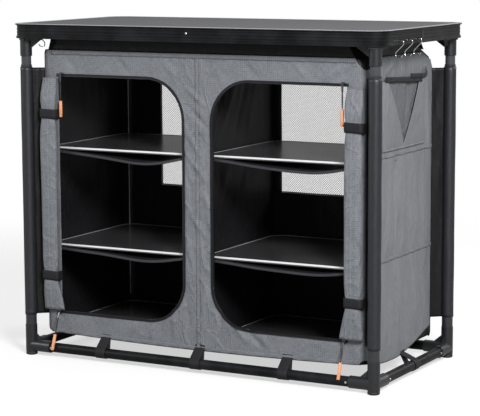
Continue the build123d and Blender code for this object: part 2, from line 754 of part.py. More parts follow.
front_wall = end_wall(-1)
with BuildPart() as front_panel:
    add(front_wall.part)
    # Seam down the middle
    with BuildSketch(Plane.XZ.offset(BODY_HALF_D)):
        with Locations((0, (BODY_BOTTOM_Z + BODY_TOP_Z) / 2)):
            Rectangle(SEAM_WIDTH, BODY_TOP_Z - BODY_BOTTOM_Z)
    extrude(amount=SEAM_PROUD)
    for side in SIDES_X.values():
        with BuildSketch(Plane.XZ.offset(BODY_HALF_D - 2 * CLOTH)):
            add(door_face(side, 0.0))
        extrude(amount=3 * CLOTH, mode=Mode.SUBTRACT)
save(front_panel, "front_panel")

back_wall = end_wall(1)
window_mid_z = (WINDOW_TOP_Z + WINDOW_BOTTOM_Z) / 2
with BuildPart() as back_panel:
    add(back_wall.part)
    with BuildSketch(Plane.XZ.offset(-BODY_HALF_D)):
        with Locations((0, window_mid_z)):
            Rectangle(2 * WINDOW_HALF_W, WINDOW_HEIGHT)
    extrude(amount=2 * CLOTH, both=True, mode=Mode.SUBTRACT)
save(back_panel, "back_panel")

# Net in the window, one face with its holes
net_pitch_x = (2 * WINDOW_HALF_W - 2 * MESH_BORDER + MESH_STRAND) / MESH_COLUMNS
net_pitch_z = (WINDOW_HEIGHT - 2 * MESH_BORDER + MESH_STRAND) / MESH_ROWS
with BuildPart() as back_mesh:
    with BuildSketch(Plane.XZ.offset(-(BODY_HALF_D - CLOTH / 2 + MESH_THICK / 2))):
        with Locations((0, window_mid_z)):
            Rectangle(2 * WINDOW_HALF_W, WINDOW_HEIGHT)
            with GridLocations(net_pitch_x, net_pitch_z, MESH_COLUMNS, MESH_ROWS):
                Rectangle(net_pitch_x - MESH_STRAND, net_pitch_z - MESH_STRAND, mode=Mode.SUBTRACT)
    extrude(amount=MESH_THICK)
save(back_mesh, "back_mesh")


def side_wall(side_x):
    """Left or right wall; its bottom edge sags between the corners."""
    straight = BODY_HALF_D - BODY_CORNER_R
    with BuildPart() as wall:
        with BuildSketch(Plane.YZ.offset(side_x * inner_half_w)):
            with BuildLine():
                Polyline(
                    (straight, BODY_BOTTOM_Z + SIDE_BACK_RISE),
                    (straight, BODY_TOP_Z),
                    (-straight, BODY_TOP_Z),
                    (-straight, BODY_BOTTOM_Z),
                )
                ThreePointArc(
                    (-straight, BODY_BOTTOM_Z),
                    (SIDE_LOW_Y, BODY_BOTTOM_Z - SIDE_SAG),
                    (SIDE_RISE_Y, BODY_BOTTOM_Z - SIDE_SAG / 2),
                )
                Line(
                    (SIDE_RISE_Y, BODY_BOTTOM_Z - SIDE_SAG / 2),
                    (straight, BODY_BOTTOM_Z + SIDE_BACK_RISE),
                )
            make_face()
        extrude(amount=side_x * CLOTH)
        # Seams at the shelf levels
        for level in ("middle", "upper"):
            with BuildSketch(Plane.YZ.offset(side_x * BODY_HALF_W)):
                with Locations((0, SHELF_TOPS[level] + SEAM_WIDTH)):
                    Rectangle(2 * straight, SEAM_WIDTH)
            extrude(amount=side_x * SEAM_PROUD)
        trim_corners()
    return wall


for name, side in SIDES_X.items():
    save(side_wall(side), f"{name}_panel")

with BuildPart() as floor_panel:
    with BuildSketch(Plane.XY.offset(floor_top_z - FLOOR_THICK)):
        RectangleRounded(2 * inner_half_w, 2 * inner_half_d, BODY_CORNER_R - CLOTH)
    extrude(amount=FLOOR_THICK)
    trim_corners(inset=CLOTH)
save(floor_panel, "floor_panel")

with BuildPart() as centre_divider:
    with BuildSketch(Plane.XY.offset(floor_top_z)):
        Rectangle(DIVIDER_THICK, 2 * inner_half_d)
    extrude(amount=BODY_TOP_Z - floor_top_z)
save(centre_divider, "centre_divider")


# Band above the walls: four strips with slanted ends
def band_strip(base, start, end, notch):
    """One strip from start to end along its wall; the notch clears the brace."""
    height = ledge_bottom_z - BAND_TOP_GAP - BODY_TOP_Z
    with BuildPart() as strip:
        with BuildSketch(base):
            Polygon(
                (start, 0),
                (end, 0),
                (end - BAND_END_SLANT, height),
                (start + BAND_END_SLANT, height),
                align=None,
            )
            if notch:
                with Locations((0, height)):
                    Rectangle(
                        BRACE_WIDTH + 2 * BAND_BRACE_GAP,
                        2 * (BRACE_HEIGHT + BAND_BRACE_GAP),
                        mode=Mode.SUBTRACT,
                    )
        extrude(amount=CLOTH)
    return strip.part


band_half_x = BODY_HALF_W - FRONT_TOP_CUTS[0][0]
band_front_y = BODY_HALF_D - FRONT_TOP_CUTS[0][1]
band_back_y = BODY_HALF_D - BACK_TOP_CUTS[0][1]
band_strips = []
for side in SIDES_Y.values():
    face = Plane(origin=(0, side * inner_half_d, BODY_TOP_Z), x_dir=(-side, 0, 0), z_dir=(0, side, 0))
    band_strips.append(band_strip(face, -band_half_x, band_half_x, True))
for side in SIDES_X.values():
    face = Plane(origin=(side * inner_half_w, 0, BODY_TOP_Z), x_dir=(0, side, 0), z_dir=(side, 0, 0))
    ends = sorted((-side * band_front_y, side * band_back_y))
    band_strips.append(band_strip(face, *ends, False))
group(band_strips, "top_band")


# Slings under the shelf boards: level along the walls and sagging between
def shelf_sling(side, level):
    """Fabric hammock of one compartment."""
    top_z = SHELF_TOPS[level] - BOARD_THICK - REST_GAP
    near = side * DIVIDER_THICK / 2
    far = side * inner_half_w
    middle = (near + far) / 2
    with BuildPart() as sling:
        with BuildSketch(Plane.XZ.offset(inner_half_d - SLING_FRONT_GAP)):
            with BuildLine():
                Line((near, top_z), (near + side * SLING_LEDGE, top_z))
                ThreePointArc(
                    (near + side * SLING_LEDGE, top_z),
                    (middle, top_z - SLING_SAG),
                    (far - side * SLING_LEDGE, top_z),
                )
                Polyline(
                    (far - side * SLING_LEDGE, top_z),
                    (far, top_z),
                    (far, top_z - SLING_THICK),
                    (far - side * SLING_LEDGE, top_z - SLING_THICK),
                )
                ThreePointArc(
                    (far - side * SLING_LEDGE, top_z - SLING_THICK),
                    (middle, top_z - SLING_SAG - SLING_THICK),
                    (near + side * SLING_LEDGE, top_z - SLING_THICK),
                )
                Polyline(
                    (near + side * SLING_LEDGE, top_z - SLING_THICK),
                    (near, top_z - SLING_THICK),
                    (near, top_z),
                )
            make_face()
        extrude(amount=-(2 * inner_half_d - SLING_FRONT_GAP))
        with BuildSketch(Plane.XY.offset(top_z - 2 * SLING_SAG)):
            RectangleRounded(2 * inner_half_w, 2 * inner_half_d, BODY_CORNER_R - CLOTH)
        extrude(amount=2 * SLING_SAG, mode=Mode.INTERSECT)
    return sling.part


for level in ("middle", "upper"):
    group([shelf_sling(side, level) for side in SIDES_X.values()], f"shelf_sling_{level}")


# Shelf boards: large round corners at the back
def shelf_board(side, level):
    """Stiff board of one compartment."""
    near = DIVIDER_THICK / 2 + BOARD_MARGIN
    far = inner_half_w - BOARD_MARGIN
    front = -(inner_half_d - BOARD_FRONT_GAP)
    back = inner_half_d - BOARD_BACK_GAP
    with BuildPart() as board:
        with BuildSketch(Plane.XY.offset(SHELF_TOPS[level] - BOARD_THICK)) as outline:
            with Locations((side * (near + far) / 2, (front + back) / 2)):
                Rectangle(far - near, back - front)
            corners = outline.vertices().group_by(Axis.Y)
            fillet(corners[-1], BOARD_R)
            fillet(outline.vertices().group_by(Axis.Y)[0], BOARD_FRONT_R)
        extrude(amount=BOARD_THICK)
        chamfer(board.faces().sort_by(Axis.Z)[-1].edges(), BOARD_EDGE)
    return board


for level in SHELF_TOPS:
    for name, side in SIDES_X.items():
        save(shelf_board(side, level), f"shelf_board_{name}_{level}")


# Zip tape round three sides of each door
def zip_tape(side):
    """Flat tape on the front wall; it runs on past the door's outer corners."""
    outer = side * (DOOR_OUTER_X + TAPE_REACH)
    with BuildPart() as tape:
        with BuildSketch(Plane.XZ.offset(BODY_HALF_D)):
            add(door_face(side, TAPE_WIDTH))
            for edge_z in (DOOR_TOP_Z + TAPE_WIDTH / 2, DOOR_BOTTOM_Z - TAPE_WIDTH / 2):
                with Locations((side * (DOOR_OUTER_X + TAPE_REACH / 2), edge_z)):
                    Rectangle(TAPE_REACH, TAPE_WIDTH)
            add(door_face(side, 0.0), mode=Mode.SUBTRACT)
            with Locations((outer - side * TAPE_REACH / 2, (DOOR_TOP_Z + DOOR_BOTTOM_Z) / 2)):
                Rectangle(TAPE_REACH, DOOR_TOP_Z - DOOR_BOTTOM_Z, mode=Mode.SUBTRACT)
        extrude(amount=TAPE_THICK)
    return tape.part


group([zip_tape(side) for side in SIDES_X.values()], "zip_tapes")


# Rolled doors: a flattened roll, drawn in where the straps hold it
def rolled_door(side):
    """Roll that stands on the front wall beside its door."""
    bottom_z = DOOR_BOTTOM_Z + ROLL_END_GAP
    top_z = DOOR_TOP_Z - ROLL_END_GAP
    half_strap = DOOR_STRAP_HEIGHT / 2
    stations = [(bottom_z, ROLL_PINCH)]
    for strap_z in DOOR_STRAP_ZS:
        stations += [
            (strap_z - 2 * DOOR_STRAP_HEIGHT, 0.0),
            (strap_z - half_strap, ROLL_PINCH),
            (strap_z + half_strap, ROLL_PINCH),
            (strap_z + 2 * DOOR_STRAP_HEIGHT, 0.0),
        ]
    stations.append((top_z, ROLL_PINCH))
    with BuildPart() as roll:
        for station_z, pinch in stations:
            depth = ROLL_DEPTH - pinch
            with BuildSketch(Plane.XY.offset(station_z)):
                with Locations((side * ROLL_MIDDLE_X, front_y - ROLL_GAP - depth / 2)):
                    RectangleRounded(ROLL_WIDTH - pinch, depth, depth * ROLL_CORNER_SHARE)
        loft(ruled=True)
    return roll


for name, side in SIDES_X.items():
    save(rolled_door(side), f"rolled_door_{name}")


def door_strap(side, strap_z):
    """Webbing sewn to the front wall on both sides of the roll."""
    inner_w = ROLL_WIDTH - ROLL_PINCH + 2 * WEBBING_FIT
    inner_d = ROLL_DEPTH - ROLL_PINCH + ROLL_GAP + WEBBING_FIT
    with BuildPart() as strap:
        with BuildSketch(Plane.XY.offset(strap_z - DOOR_STRAP_HEIGHT / 2)):
            with Locations((side * ROLL_MIDDLE_X, front_y)):
                RectangleRounded(
                    inner_w + 2 * WEBBING, 2 * (inner_d + WEBBING), DOOR_STRAP_R + WEBBING
                )
                RectangleRounded(inner_w, 2 * inner_d, DOOR_STRAP_R, mode=Mode.SUBTRACT)
        extrude(amount=DOOR_STRAP_HEIGHT)
        split(bisect_by=Plane(origin=(0, front_y, 0), z_dir=(0, 1, 0)), keep=Keep.BOTTOM)
    return strap.part


group(
    [
        door_strap(side, strap_z)
        for side in SIDES_X.values()
        for strap_z in DOOR_STRAP_ZS
    ],
    "door_straps",
)


# Leg sleeves: a tube of cloth with hems, and a web to the body's upright corner
def leg_sleeve(side_x, side_y):
    """Sleeve round one leg; its web rises to the body's top corner."""
    axis_x = side_x * leg_x
    axis_y = side_y * leg_y
    run_x = leg_x - BODY_HALF_W + BODY_CORNER_R
    run_y = leg_y - BODY_HALF_D + BODY_CORNER_R
    span = hypot(run_x, run_y)
    web_end = span - BODY_CORNER_R
    cut_x, cut_y, cut_z = (FRONT_TOP_CUTS if side_y < 0 else BACK_TOP_CUTS)[-1]
    # Depth along the web where the corner's cut meets the top, and the height where it meets the arc
    closing = (run_x / cut_x + run_y / cut_y) / span
    gap_x = leg_x - BODY_HALF_W
    gap_y = leg_y - BODY_HALF_D
    top_end = (1 + gap_x / cut_x + gap_y / cut_y) / closing
    arc_top_z = BODY_TOP_Z - cut_z * (top_end - web_end) * closing
    upright = Plane(
        origin=(axis_x, axis_y, 0),
        x_dir=(-side_x * run_x, -side_y * run_y, 0),
        z_dir=(-side_y * run_y, side_x * run_x, 0),
    )
    with BuildPart() as sleeve:
        with BuildSketch(Plane.XY.offset(SLEEVE_BOTTOM_Z)):
            with Locations((axis_x, axis_y)):
                Circle(sleeve_outer_r)
        extrude(amount=SLEEVE_TOP_Z - SLEEVE_BOTTOM_Z)
        for hem_z in (SLEEVE_BOTTOM_Z, SLEEVE_TOP_Z - SLEEVE_HEM):
            with BuildSketch(Plane.XY.offset(hem_z)):
                with Locations((axis_x, axis_y)):
                    Circle(sleeve_outer_r + SLEEVE_HEM_PROUD)
            extrude(amount=SLEEVE_HEM)
        with BuildSketch(upright):
            Polygon(
                (0, SLEEVE_BOTTOM_Z),
                (web_end, SLEEVE_BOTTOM_Z),
                (web_end, arc_top_z),
                (top_end, BODY_TOP_Z),
                (sleeve_outer_r, SLEEVE_TOP_Z - WEB_TOP_DROP),
                (0, SLEEVE_TOP_Z - WEB_TOP_DROP),
                align=None,
            )
        extrude(amount=CLOTH / 2, both=True)
        with BuildSketch(Plane.XY.offset(SLEEVE_BOTTOM_Z)):
            with Locations((axis_x, axis_y)):
                Circle(sleeve_inner_r)
        extrude(amount=SLEEVE_TOP_Z - SLEEVE_BOTTOM_Z, mode=Mode.SUBTRACT)
    return sleeve.part


group(
    [
        leg_sleeve(side_x, side_y)
        for side_y in SIDES_Y.values()
        for side_x in SIDES_X.values()
    ],
    "leg_sleeves",
)


# Straps from the body's lower edge, each looped round a rail
def rail_strap(base, rail_offset, edge_z):
    """Loop on the plane's origin and a strand up to the wall, extruded along the plane's normal."""
    loop_r = RAIL_R + WEBBING_FIT
    with BuildPart() as strap:
        with BuildSketch(base):
            Circle(loop_r + WEBBING)
            strand_top = edge_z - RAIL_Z
            Polygon(
                (rail_offset - WEBBING, strand_top),
                (rail_offset, strand_top),
                (loop_r + WEBBING / 2, 0),
                (loop_r - WEBBING, 0),
                align=None,
            )
            Circle(loop_r, mode=Mode.SUBTRACT)
        extrude(amount=RAIL_STRAP_WIDTH / 2, both=True)
    return strap.part


rail_straps = []
for side in SIDES_Y.values():
    for strap_x in RAIL_STRAP_XS:
        ring = Plane(origin=(strap_x, side * leg_y, RAIL_Z), x_dir=(0, -side, 0), z_dir=(-side, 0, 0))
        rail_straps.append(rail_strap(ring, leg_y - inner_half_d, BODY_BOTTOM_Z))
for side in SIDES_X.values():
    for strap_y in RAIL_STRAP_YS:
        ring = Plane(origin=(side * leg_x, strap_y, RAIL_Z), x_dir=(-side, 0, 0), z_dir=(0, side, 0))
        rail_straps.append(rail_strap(ring, leg_x - inner_half_w, BODY_BOTTOM_Z - SIDE_SAG))
group(rail_straps, "rail_straps")


# Pocket on the right wall, open at the top, with a binding round its mouth
with BuildPart() as side_pocket:
    pocket_base = BODY_HALF_W + SEAM_PROUD
    pocket_length = POCKET_BACK_Y - POCKET_FRONT_Y
    with BuildSketch(Plane.XZ.offset(-POCKET_BACK_Y)):
        with BuildLine():
            Polyline(
                (pocket_base + POCKET_MOUTH, POCKET_TOP_Z),
                (pocket_base, POCKET_TOP_Z),
                (pocket_base, POCKET_BOTTOM_Z),
                (pocket_base + POCKET_WALL, POCKET_BOTTOM_Z),
            )
            ThreePointArc(
                (pocket_base + POCKET_WALL, POCKET_BOTTOM_Z),
                (pocket_base + POCKET_BULGE_SHARE * POCKET_MOUTH, (POCKET_BOTTOM_Z + POCKET_TOP_Z) / 2),
                (pocket_base + POCKET_MOUTH, POCKET_TOP_Z),
            )
        make_face()
    extrude(amount=pocket_length)
    with BuildSketch(Plane.XY.offset(POCKET_TOP_Z - BINDING_HEIGHT)):
        with Locations((pocket_base, (POCKET_FRONT_Y + POCKET_BACK_Y) / 2)):
            Rectangle(POCKET_MOUTH + BINDING_PROUD, pocket_length, align=(Align.MIN, Align.CENTER))
    extrude(amount=BINDING_HEIGHT)
    # Hollow inside
    with BuildSketch(Plane.XZ.offset(-POCKET_BACK_Y + POCKET_WALL)):
        with BuildLine():
            Polyline(
                (pocket_base + POCKET_MOUTH - POCKET_WALL, POCKET_TOP_Z),
                (pocket_base, POCKET_TOP_Z),
                (pocket_base, POCKET_BOTTOM_Z + POCKET_HEEL),
            )
            ThreePointArc(
                (pocket_base, POCKET_BOTTOM_Z + POCKET_HEEL),
                (
                    pocket_base + POCKET_BULGE_SHARE * POCKET_MOUTH - POCKET_WALL,
                    (POCKET_BOTTOM_Z + POCKET_TOP_Z) / 2,
                ),
                (pocket_base + POCKET_MOUTH - POCKET_WALL, POCKET_TOP_Z),
            )
        make_face()
    extrude(amount=pocket_length - 2 * POCKET_WALL, mode=Mode.SUBTRACT)
save(side_pocket, "side_pocket")


# Zip sliders: a plate on the tape with two ears and the pull's pin
pin_y = tape_front_y - SLIDER_GAP - SLIDER_THICK - EAR_DEPTH / 2
ear_gap = TAB_WIDTH + 2 * TAB_SIDE_GAP


def slider_place(name):
    """Position of one slider's pin."""
    side, past_edge, level, _ = ZIPS[name]
    middle_z = DOOR_TOP_Z + TAPE_WIDTH / 2 if level == "top" else DOOR_BOTTOM_Z - TAPE_WIDTH / 2
    return side * (DOOR_OUTER_X + past_edge), middle_z


def zip_slider(name):
    """Slider of one door's tape."""
    at_x, at_z = slider_place(name)
    with BuildPart() as slider:
        with BuildSketch(Plane.XZ.offset(-tape_front_y + SLIDER_GAP)):
            with Locations((at_x, at_z)):
                RectangleRounded(SLIDER_WIDTH, SLIDER_HEIGHT, SLIDER_CORNER_R)
        extrude(amount=SLIDER_THICK)
        for end in (-1, 1):
            ear_x = at_x + end * (ear_gap + EAR_THICK) / 2
            with BuildSketch(Plane(origin=(ear_x, pin_y, at_z), x_dir=(0, 1, 0), z_dir=(1, 0, 0))):
                SlotOverall(EAR_DEPTH + EAR_HEIGHT / 2, EAR_HEIGHT)
            extrude(amount=EAR_THICK / 2, both=True)
        with BuildSketch(Plane(origin=(at_x, pin_y, at_z), z_dir=(1, 0, 0))):
            Circle(PIN_R)
        extrude(amount=(ear_gap + EAR_THICK) / 2, both=True)
    return slider


def zip_pull(name):
    """Tab on the slider's pin, its cord and the grip tube."""
    at_x, at_z = slider_place(name)
    drop = ZIPS[name][3]
    across = Plane(origin=(at_x, pin_y, at_z), z_dir=(1, 0, 0))
    down = Plane(origin=(at_x, pin_y, at_z), z_dir=(0, 0, -1))
    with BuildPart() as pull:
        with BuildSketch(across):
            Circle(BARREL_R)
        extrude(amount=TAB_WIDTH / 2, both=True)
        with BuildSketch(Plane.XZ.offset(-pin_y - TAB_THICK / 2)):
            with Locations((at_x, at_z - TAB_LENGTH / 2)):
                RectangleRounded(TAB_WIDTH, TAB_LENGTH, TAB_END_R)
        extrude(amount=TAB_THICK)
        with BuildSketch(down.offset(TAB_LENGTH - TAB_KNOT)):
            Circle(PULL_CORD_R)
        extrude(amount=drop - TAB_LENGTH + TAB_KNOT + GRIP_LENGTH / 2)
        with BuildSketch(down.offset(drop)):
            Circle(GRIP_R)
        extrude(amount=GRIP_LENGTH)
        ends = pull.faces().filter_by(Axis.Z).filter_by(lambda face: face.area > PULL_CORD_R * 12)
        fillet(ends.edges().filter_by(lambda edge: edge.length > GRIP_R * 6), GRIP_EDGE_R)
        with BuildSketch(across):
            Circle(PIN_R + PIN_FIT)
        extrude(amount=TAB_WIDTH, both=True, mode=Mode.SUBTRACT)
    # A lower pull leans out over the rail and its straps
    lean = 0.0
    if ZIPS[name][2] == "bottom":
        to_rail = (leg_y + pin_y, at_z - RAIL_Z)
        clear_r = RAIL_R + WEBBING_FIT + WEBBING + PULL_REST_GAP + GRIP_R
        lean = degrees(atan2(to_rail[0], to_rail[1]) + asin(clear_r / hypot(*to_rail)))
    return pull.part.rotate(Axis((at_x, pin_y, at_z), (1, 0, 0)), -lean)


for name in ZIPS:
    save(zip_slider(name), f"zip_slider_{name}")
    group([zip_pull(name)], f"zip_pull_{name}")


# Wire hooks: the heel turns up behind the band, so a load can't pull the hook out of its hole
def s_hook(side, hook_y):
    """Bent wire hook through a hole in the rim's side band."""
    heel_x = side * (band_inner_w - HOOK_HEEL / 2)
    out_x = side * (band_half_w + HOOK_BULGE)
    waist_x = side * (band_half_w - HOOK_WAIST_IN)
    tip_x = side * (band_half_w + HOOK_TIP[0])
    points = [
        (heel_x, hook_y, HOOK_Z + HOOK_HEEL),
        (heel_x, hook_y, HOOK_Z),
        (out_x, hook_y, HOOK_Z),
        (out_x, hook_y, HOOK_Z - HOOK_SHANK_DROP),
        (waist_x, hook_y, HOOK_Z - HOOK_WAIST_DROP),
        (waist_x, hook_y, HOOK_Z - HOOK_BOTTOM_DROP),
        (side * (band_half_w + HOOK_TOE_OUT), hook_y, HOOK_Z - HOOK_BOTTOM_DROP),
        (tip_x, hook_y, HOOK_Z - HOOK_TIP[1]),
    ]
    with BuildPart() as hook:
        with BuildLine() as wire:
            FilletPolyline(*points, radius=HOOK_BENDS)
        with BuildSketch(Plane(origin=points[0], z_dir=(0, 0, -1))):
            Circle(HOOK_WIRE_R)
        sweep(path=wire.wires()[0])
    return hook


for name, (side, hook_y) in HOOKS.items():
    save(s_hook(side, hook_y), f"s_hook_{name}")
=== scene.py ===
"""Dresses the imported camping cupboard: cloth, webbing, zips, coatings, light and camera."""

import logging
import math
from collections.abc import Callable, Sequence
from dataclasses import dataclass, field
from enum import Enum

import bmesh
import bpy
from mathutils import Euler, Matrix, Vector, noise


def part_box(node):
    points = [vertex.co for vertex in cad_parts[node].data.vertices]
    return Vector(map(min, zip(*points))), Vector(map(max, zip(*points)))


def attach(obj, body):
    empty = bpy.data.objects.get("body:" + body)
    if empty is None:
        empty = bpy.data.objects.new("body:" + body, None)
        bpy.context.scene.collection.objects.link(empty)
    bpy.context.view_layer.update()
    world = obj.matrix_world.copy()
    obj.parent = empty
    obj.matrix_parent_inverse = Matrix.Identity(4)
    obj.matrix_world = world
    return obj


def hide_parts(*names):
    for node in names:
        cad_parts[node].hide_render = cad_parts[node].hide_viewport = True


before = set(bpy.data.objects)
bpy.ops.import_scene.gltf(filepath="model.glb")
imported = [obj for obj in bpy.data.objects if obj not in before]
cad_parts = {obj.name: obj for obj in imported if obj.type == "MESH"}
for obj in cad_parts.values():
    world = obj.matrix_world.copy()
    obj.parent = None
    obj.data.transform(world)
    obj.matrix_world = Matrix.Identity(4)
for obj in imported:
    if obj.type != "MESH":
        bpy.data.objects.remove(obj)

LOG = logging.getLogger("cupboard")
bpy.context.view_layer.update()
MM = 0.001
CUT_UV = "cut"  # UV map that holds a cloth's flat coordinates, in metres
EDGE_RUN = 30 * MM  # over this distance from a held edge a cloth's folds grow to their height

Mesh = bmesh.types.BMesh
Tree = bpy.types.NodeTree
Socket = bpy.types.NodeSocket
Look = tuple[Socket | None, Socket | None]  # what a pattern makes: colour, height in metres
Setbacks = tuple[tuple[float, float, float], ...]  # along X, Y and Z, of each cut of a corner


class Named(Enum):
    """Choices whose names also name pieces and CAD nodes."""

    @property
    def label(self) -> str:
        """The name in lower case."""
        return self.name.lower()


class Side(Named):
    """The two short sides, by the sign of X."""

    LEFT = -1
    RIGHT = 1


class End(Named):
    """The two long faces, by the sign of Y."""

    FRONT = -1
    BACK = 1


class Level(Named):
    """Shelf levels that hang in a sling, by how far the sling sags in the middle."""

    MIDDLE = 15 * MM
    UPPER = 20 * MM


CORNERS = [(side, end) for side in Side for end in End]


def clamp(value: float) -> float:
    """Hold a value between 0 and 1."""
    return min(1.0, max(0.0, value))


def bell(off: float, width: float) -> float:
    """Return a smooth bump: 1 in the middle, and next to nothing two widths away."""
    return math.exp(-((off / width) ** 2))


# Materials ------------------------------------------------------------------------------------


def linear(code: str) -> tuple[float, float, float, float]:
    """Turn an sRGB hex colour to linear light.

    Args:
        code: Six hex digits after a hash sign.

    Returns:
        Red, green, blue and an alpha of 1.
    """
    parts = [int(code[at : at + 2], 16) / 255 for at in (1, 3, 5)]
    light = [c / 12.92 if c <= 0.04045 else ((c + 0.055) / 1.055) ** 2.4 for c in parts]
    return (*light, 1.0)


def node(tree: Tree, kind: str, inputs: dict | None = None, **settings: object) -> bpy.types.Node:
    """Add a shader node with its settings, values and links.

    Args:
        tree: The tree that takes the node.
        kind: The node's type name.
        inputs: Socket name or number, with a value or the socket that feeds it.
        **settings: Properties of the node itself.

    Returns:
        The new node.
    """
    made = tree.nodes.new(kind)
    for name, value in settings.items():
        setattr(made, name, value)
    for name, value in (inputs or {}).items():
        if isinstance(value, Socket):
            tree.links.new(value, made.inputs[name])
        else:
            made.inputs[name].default_value = value
    return made


@dataclass(frozen=True)
class Finish:
    """A surface finish: base colours, roughness and what its pattern adds."""

    name: str
    colour: str
    rough: float
    metallic: float = 0.0
    ior: float = 1.5
    sheen: float = 0.0
    coat: float = 0.0
    bump: float = 0.0

    def place(self, tree: Tree) -> Socket:
        """Return the coordinates that the pattern reads, in metres."""
        return node(tree, "ShaderNodeTexCoord").outputs["Object"]

    def pattern(self, tree: Tree, at: Socket) -> Look:
        """Make the pattern.

        Args:
            tree: The material's tree.
            at: Coordinates in metres.

        Returns:
            A colour socket and a height socket in metres, either of which may be None.
        """
        return None, None

    def make(self) -> bpy.types.Material:
        """Build the material once, and return it."""
        known = bpy.data.materials.get(self.name)
        if known:
            return known
        material = bpy.data.materials.new(self.name)
        material.use_nodes = True
        tree = material.node_tree
        tree.nodes.clear()
        shader = node(
            tree,
            "ShaderNodeBsdfPrincipled",
            {
                "Base Color": linear(self.colour),
                "Roughness": self.rough,
                "Metallic": self.metallic,
                "IOR": self.ior,
                "Sheen Weight": self.sheen,
                "Sheen Roughness": 0.4,
                "Coat Weight": self.coat,
                "Coat Roughness": 0.15,
            },
        )
        colour, height = self.pattern(tree, self.place(tree))
        if colour:
            tree.links.new(colour, shader.inputs["Base Color"])
        if height:
            bump = node(
                tree,
                "ShaderNodeBump",
                {"Height": height, "Strength": self.bump, "Distance": 1.0},
            )
            tree.links.new(bump.outputs["Normal"], shader.inputs["Normal"])
        node(tree, "ShaderNodeOutputMaterial", {"Surface": shader.outputs["BSDF"]})
        return material


def grain(
    tree: Tree,
    at: Socket,
    size: float,
    stretch: tuple[float, float, float] = (1.0, 1.0, 1.0),
    detail: float = 2.0,
) -> Socket:
    """Noise whose features are about one size across.

    Args:
        tree: The material's tree.
        at: Coordinates in metres.
        size: Width of a feature in metres.
        stretch: How many times longer a feature is along each axis.
        detail: Octaves of the noise.

    Returns:
        The noise's value, from 0 to 1.
    """
    scaled = node(
        tree,
        "ShaderNodeMapping",
        {"Vector": at, "Scale": tuple(1 / (size * s) for s in stretch)},
    )
    made = node(
        tree,
        "ShaderNodeTexNoise",
        {"Vector": scaled.outputs[0], "Scale": 1.0, "Detail": detail, "Roughness": 0.5},
    )
    return made.outputs["Fac"]


def ramp(
    tree: Tree,
    value: Socket,
    span: tuple[float, float],
    result: tuple[float, float] = (0.0, 1.0),
) -> Socket:
    """Map a value smoothly from one span to another."""
    made = node(
        tree,
        "ShaderNodeMapRange",
        {0: value, 1: span[0], 2: span[1], 3: result[0], 4: result[1]},
        interpolation_type="SMOOTHSTEP",
    )
    return made.outputs[0]


def mixed(tree: Tree, share: Socket, first: Socket | str, second: Socket | str) -> Socket:
    """Mix two colours, each a hex code or a socket, by a share."""
    made = node(tree, "ShaderNodeMix", data_type="RGBA")
    tree.links.new(share, made.inputs[0])
    for at, value in ((6, first), (7, second)):
        if isinstance(value, str):
            made.inputs[at].default_value = linear(value)
        else:
            tree.links.new(value, made.inputs[at])
    return made.outputs[2]


def maths(tree: Tree, operation: str, *values: Socket | float) -> Socket:
    """Return the result of one arithmetic operation."""
    made = node(tree, "ShaderNodeMath", dict(enumerate(values)), operation=operation)
    return made.outputs[0]


def sums(tree: Tree, parts: Sequence[tuple[Socket, float]]) -> Socket:
    """Add sockets, each times its own factor."""
    total: Socket | float = 0.0
    for value, factor in parts:
        total = maths(tree, "MULTIPLY_ADD", value, factor, total)
    return total


def threads(tree: Tree, value: Socket, pitch: float, share: float) -> Socket:
    """Lines a pitch apart along one coordinate.

    Args:
        tree: The material's tree.
        value: The coordinate in metres.
        pitch: Distance between lines in metres.
        share: Part of the pitch that a line fills.

    Returns:
        1 in the middle of a line and 0 between lines.
    """
    edge = pitch / 2 * (1 - share)
    return ramp(tree, maths(tree, "PINGPONG", value, pitch / 2), (edge, pitch / 2))


@dataclass(frozen=True)
class PowderCoat(Finish):
    """Powder coat on metal tube or extrusion: baked on, with a fine peel and a satin shine."""

    peel: float = 0.9 * MM

    def pattern(self, tree: Tree, at: Socket) -> Look:
        """Orange peel in the height, and a faint cloudy mottle in the colour."""
        peel = grain(tree, at, self.peel)
        dust = grain(tree, at, 60 * MM, detail=3.0)
        colour = mixed(tree, ramp(tree, dust, (0.35, 0.75), (0.0, 0.5)), self.colour, "#2b2c2f")
        return colour, sums(tree, [(peel, 0.00003)])


@dataclass(frozen=True)
class LippedCoat(PowderCoat):
    """Powder coat on the rim, with a painted highlight along the top of the raised lip round the
    tabletop.
    """

    lip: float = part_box("tabletop_rim")[1].z

    def pattern(self, tree: Tree, at: Socket) -> Look:
        """The coat, paler at the top of the lip as a painted highlight."""
        colour, height = super().pattern(tree, at)
        up = node(tree, "ShaderNodeSeparateXYZ", {0: at}).outputs[2]
        # Painted highlight: the top of the lip is mixed to pale grey, as if it caught the light
        share = ramp(tree, up, (self.lip - 1.3 * MM, self.lip - 0.5 * MM))
        return mixed(tree, share, colour, "#9b9c9e"), height


@dataclass(frozen=True)
class SparkMoulding(Finish):
    """Injection-moulded nylon from a spark-eroded mould: an even fine grit."""

    grit: float = 0.7 * MM

    def pattern(self, tree: Tree, at: Socket) -> Look:
        """Grit in the height."""
        return None, sums(tree, [(grain(tree, at, self.grit, detail=3.0), 0.00005)])


@dataclass(frozen=True)
class PressedLaminate(Finish):
    """Melamine laminate pressed on board: an even tone with a faint cloudy speckle."""

    second: str = "#7a7a7c"
    speck: float = 2.2 * MM

    def pattern(self, tree: Tree, at: Socket) -> Look:
        """Speckle in the colour and a pressed texture in the height."""
        speck = grain(tree, at, self.speck, detail=3.0)
        cloud = grain(tree, at, 90 * MM)
        share = sums(tree, [(ramp(tree, speck, (0.4, 0.62)), 0.6), (cloud, 0.4)])
        return mixed(tree, share, self.colour, self.second), sums(tree, [(speck, 0.00004)])


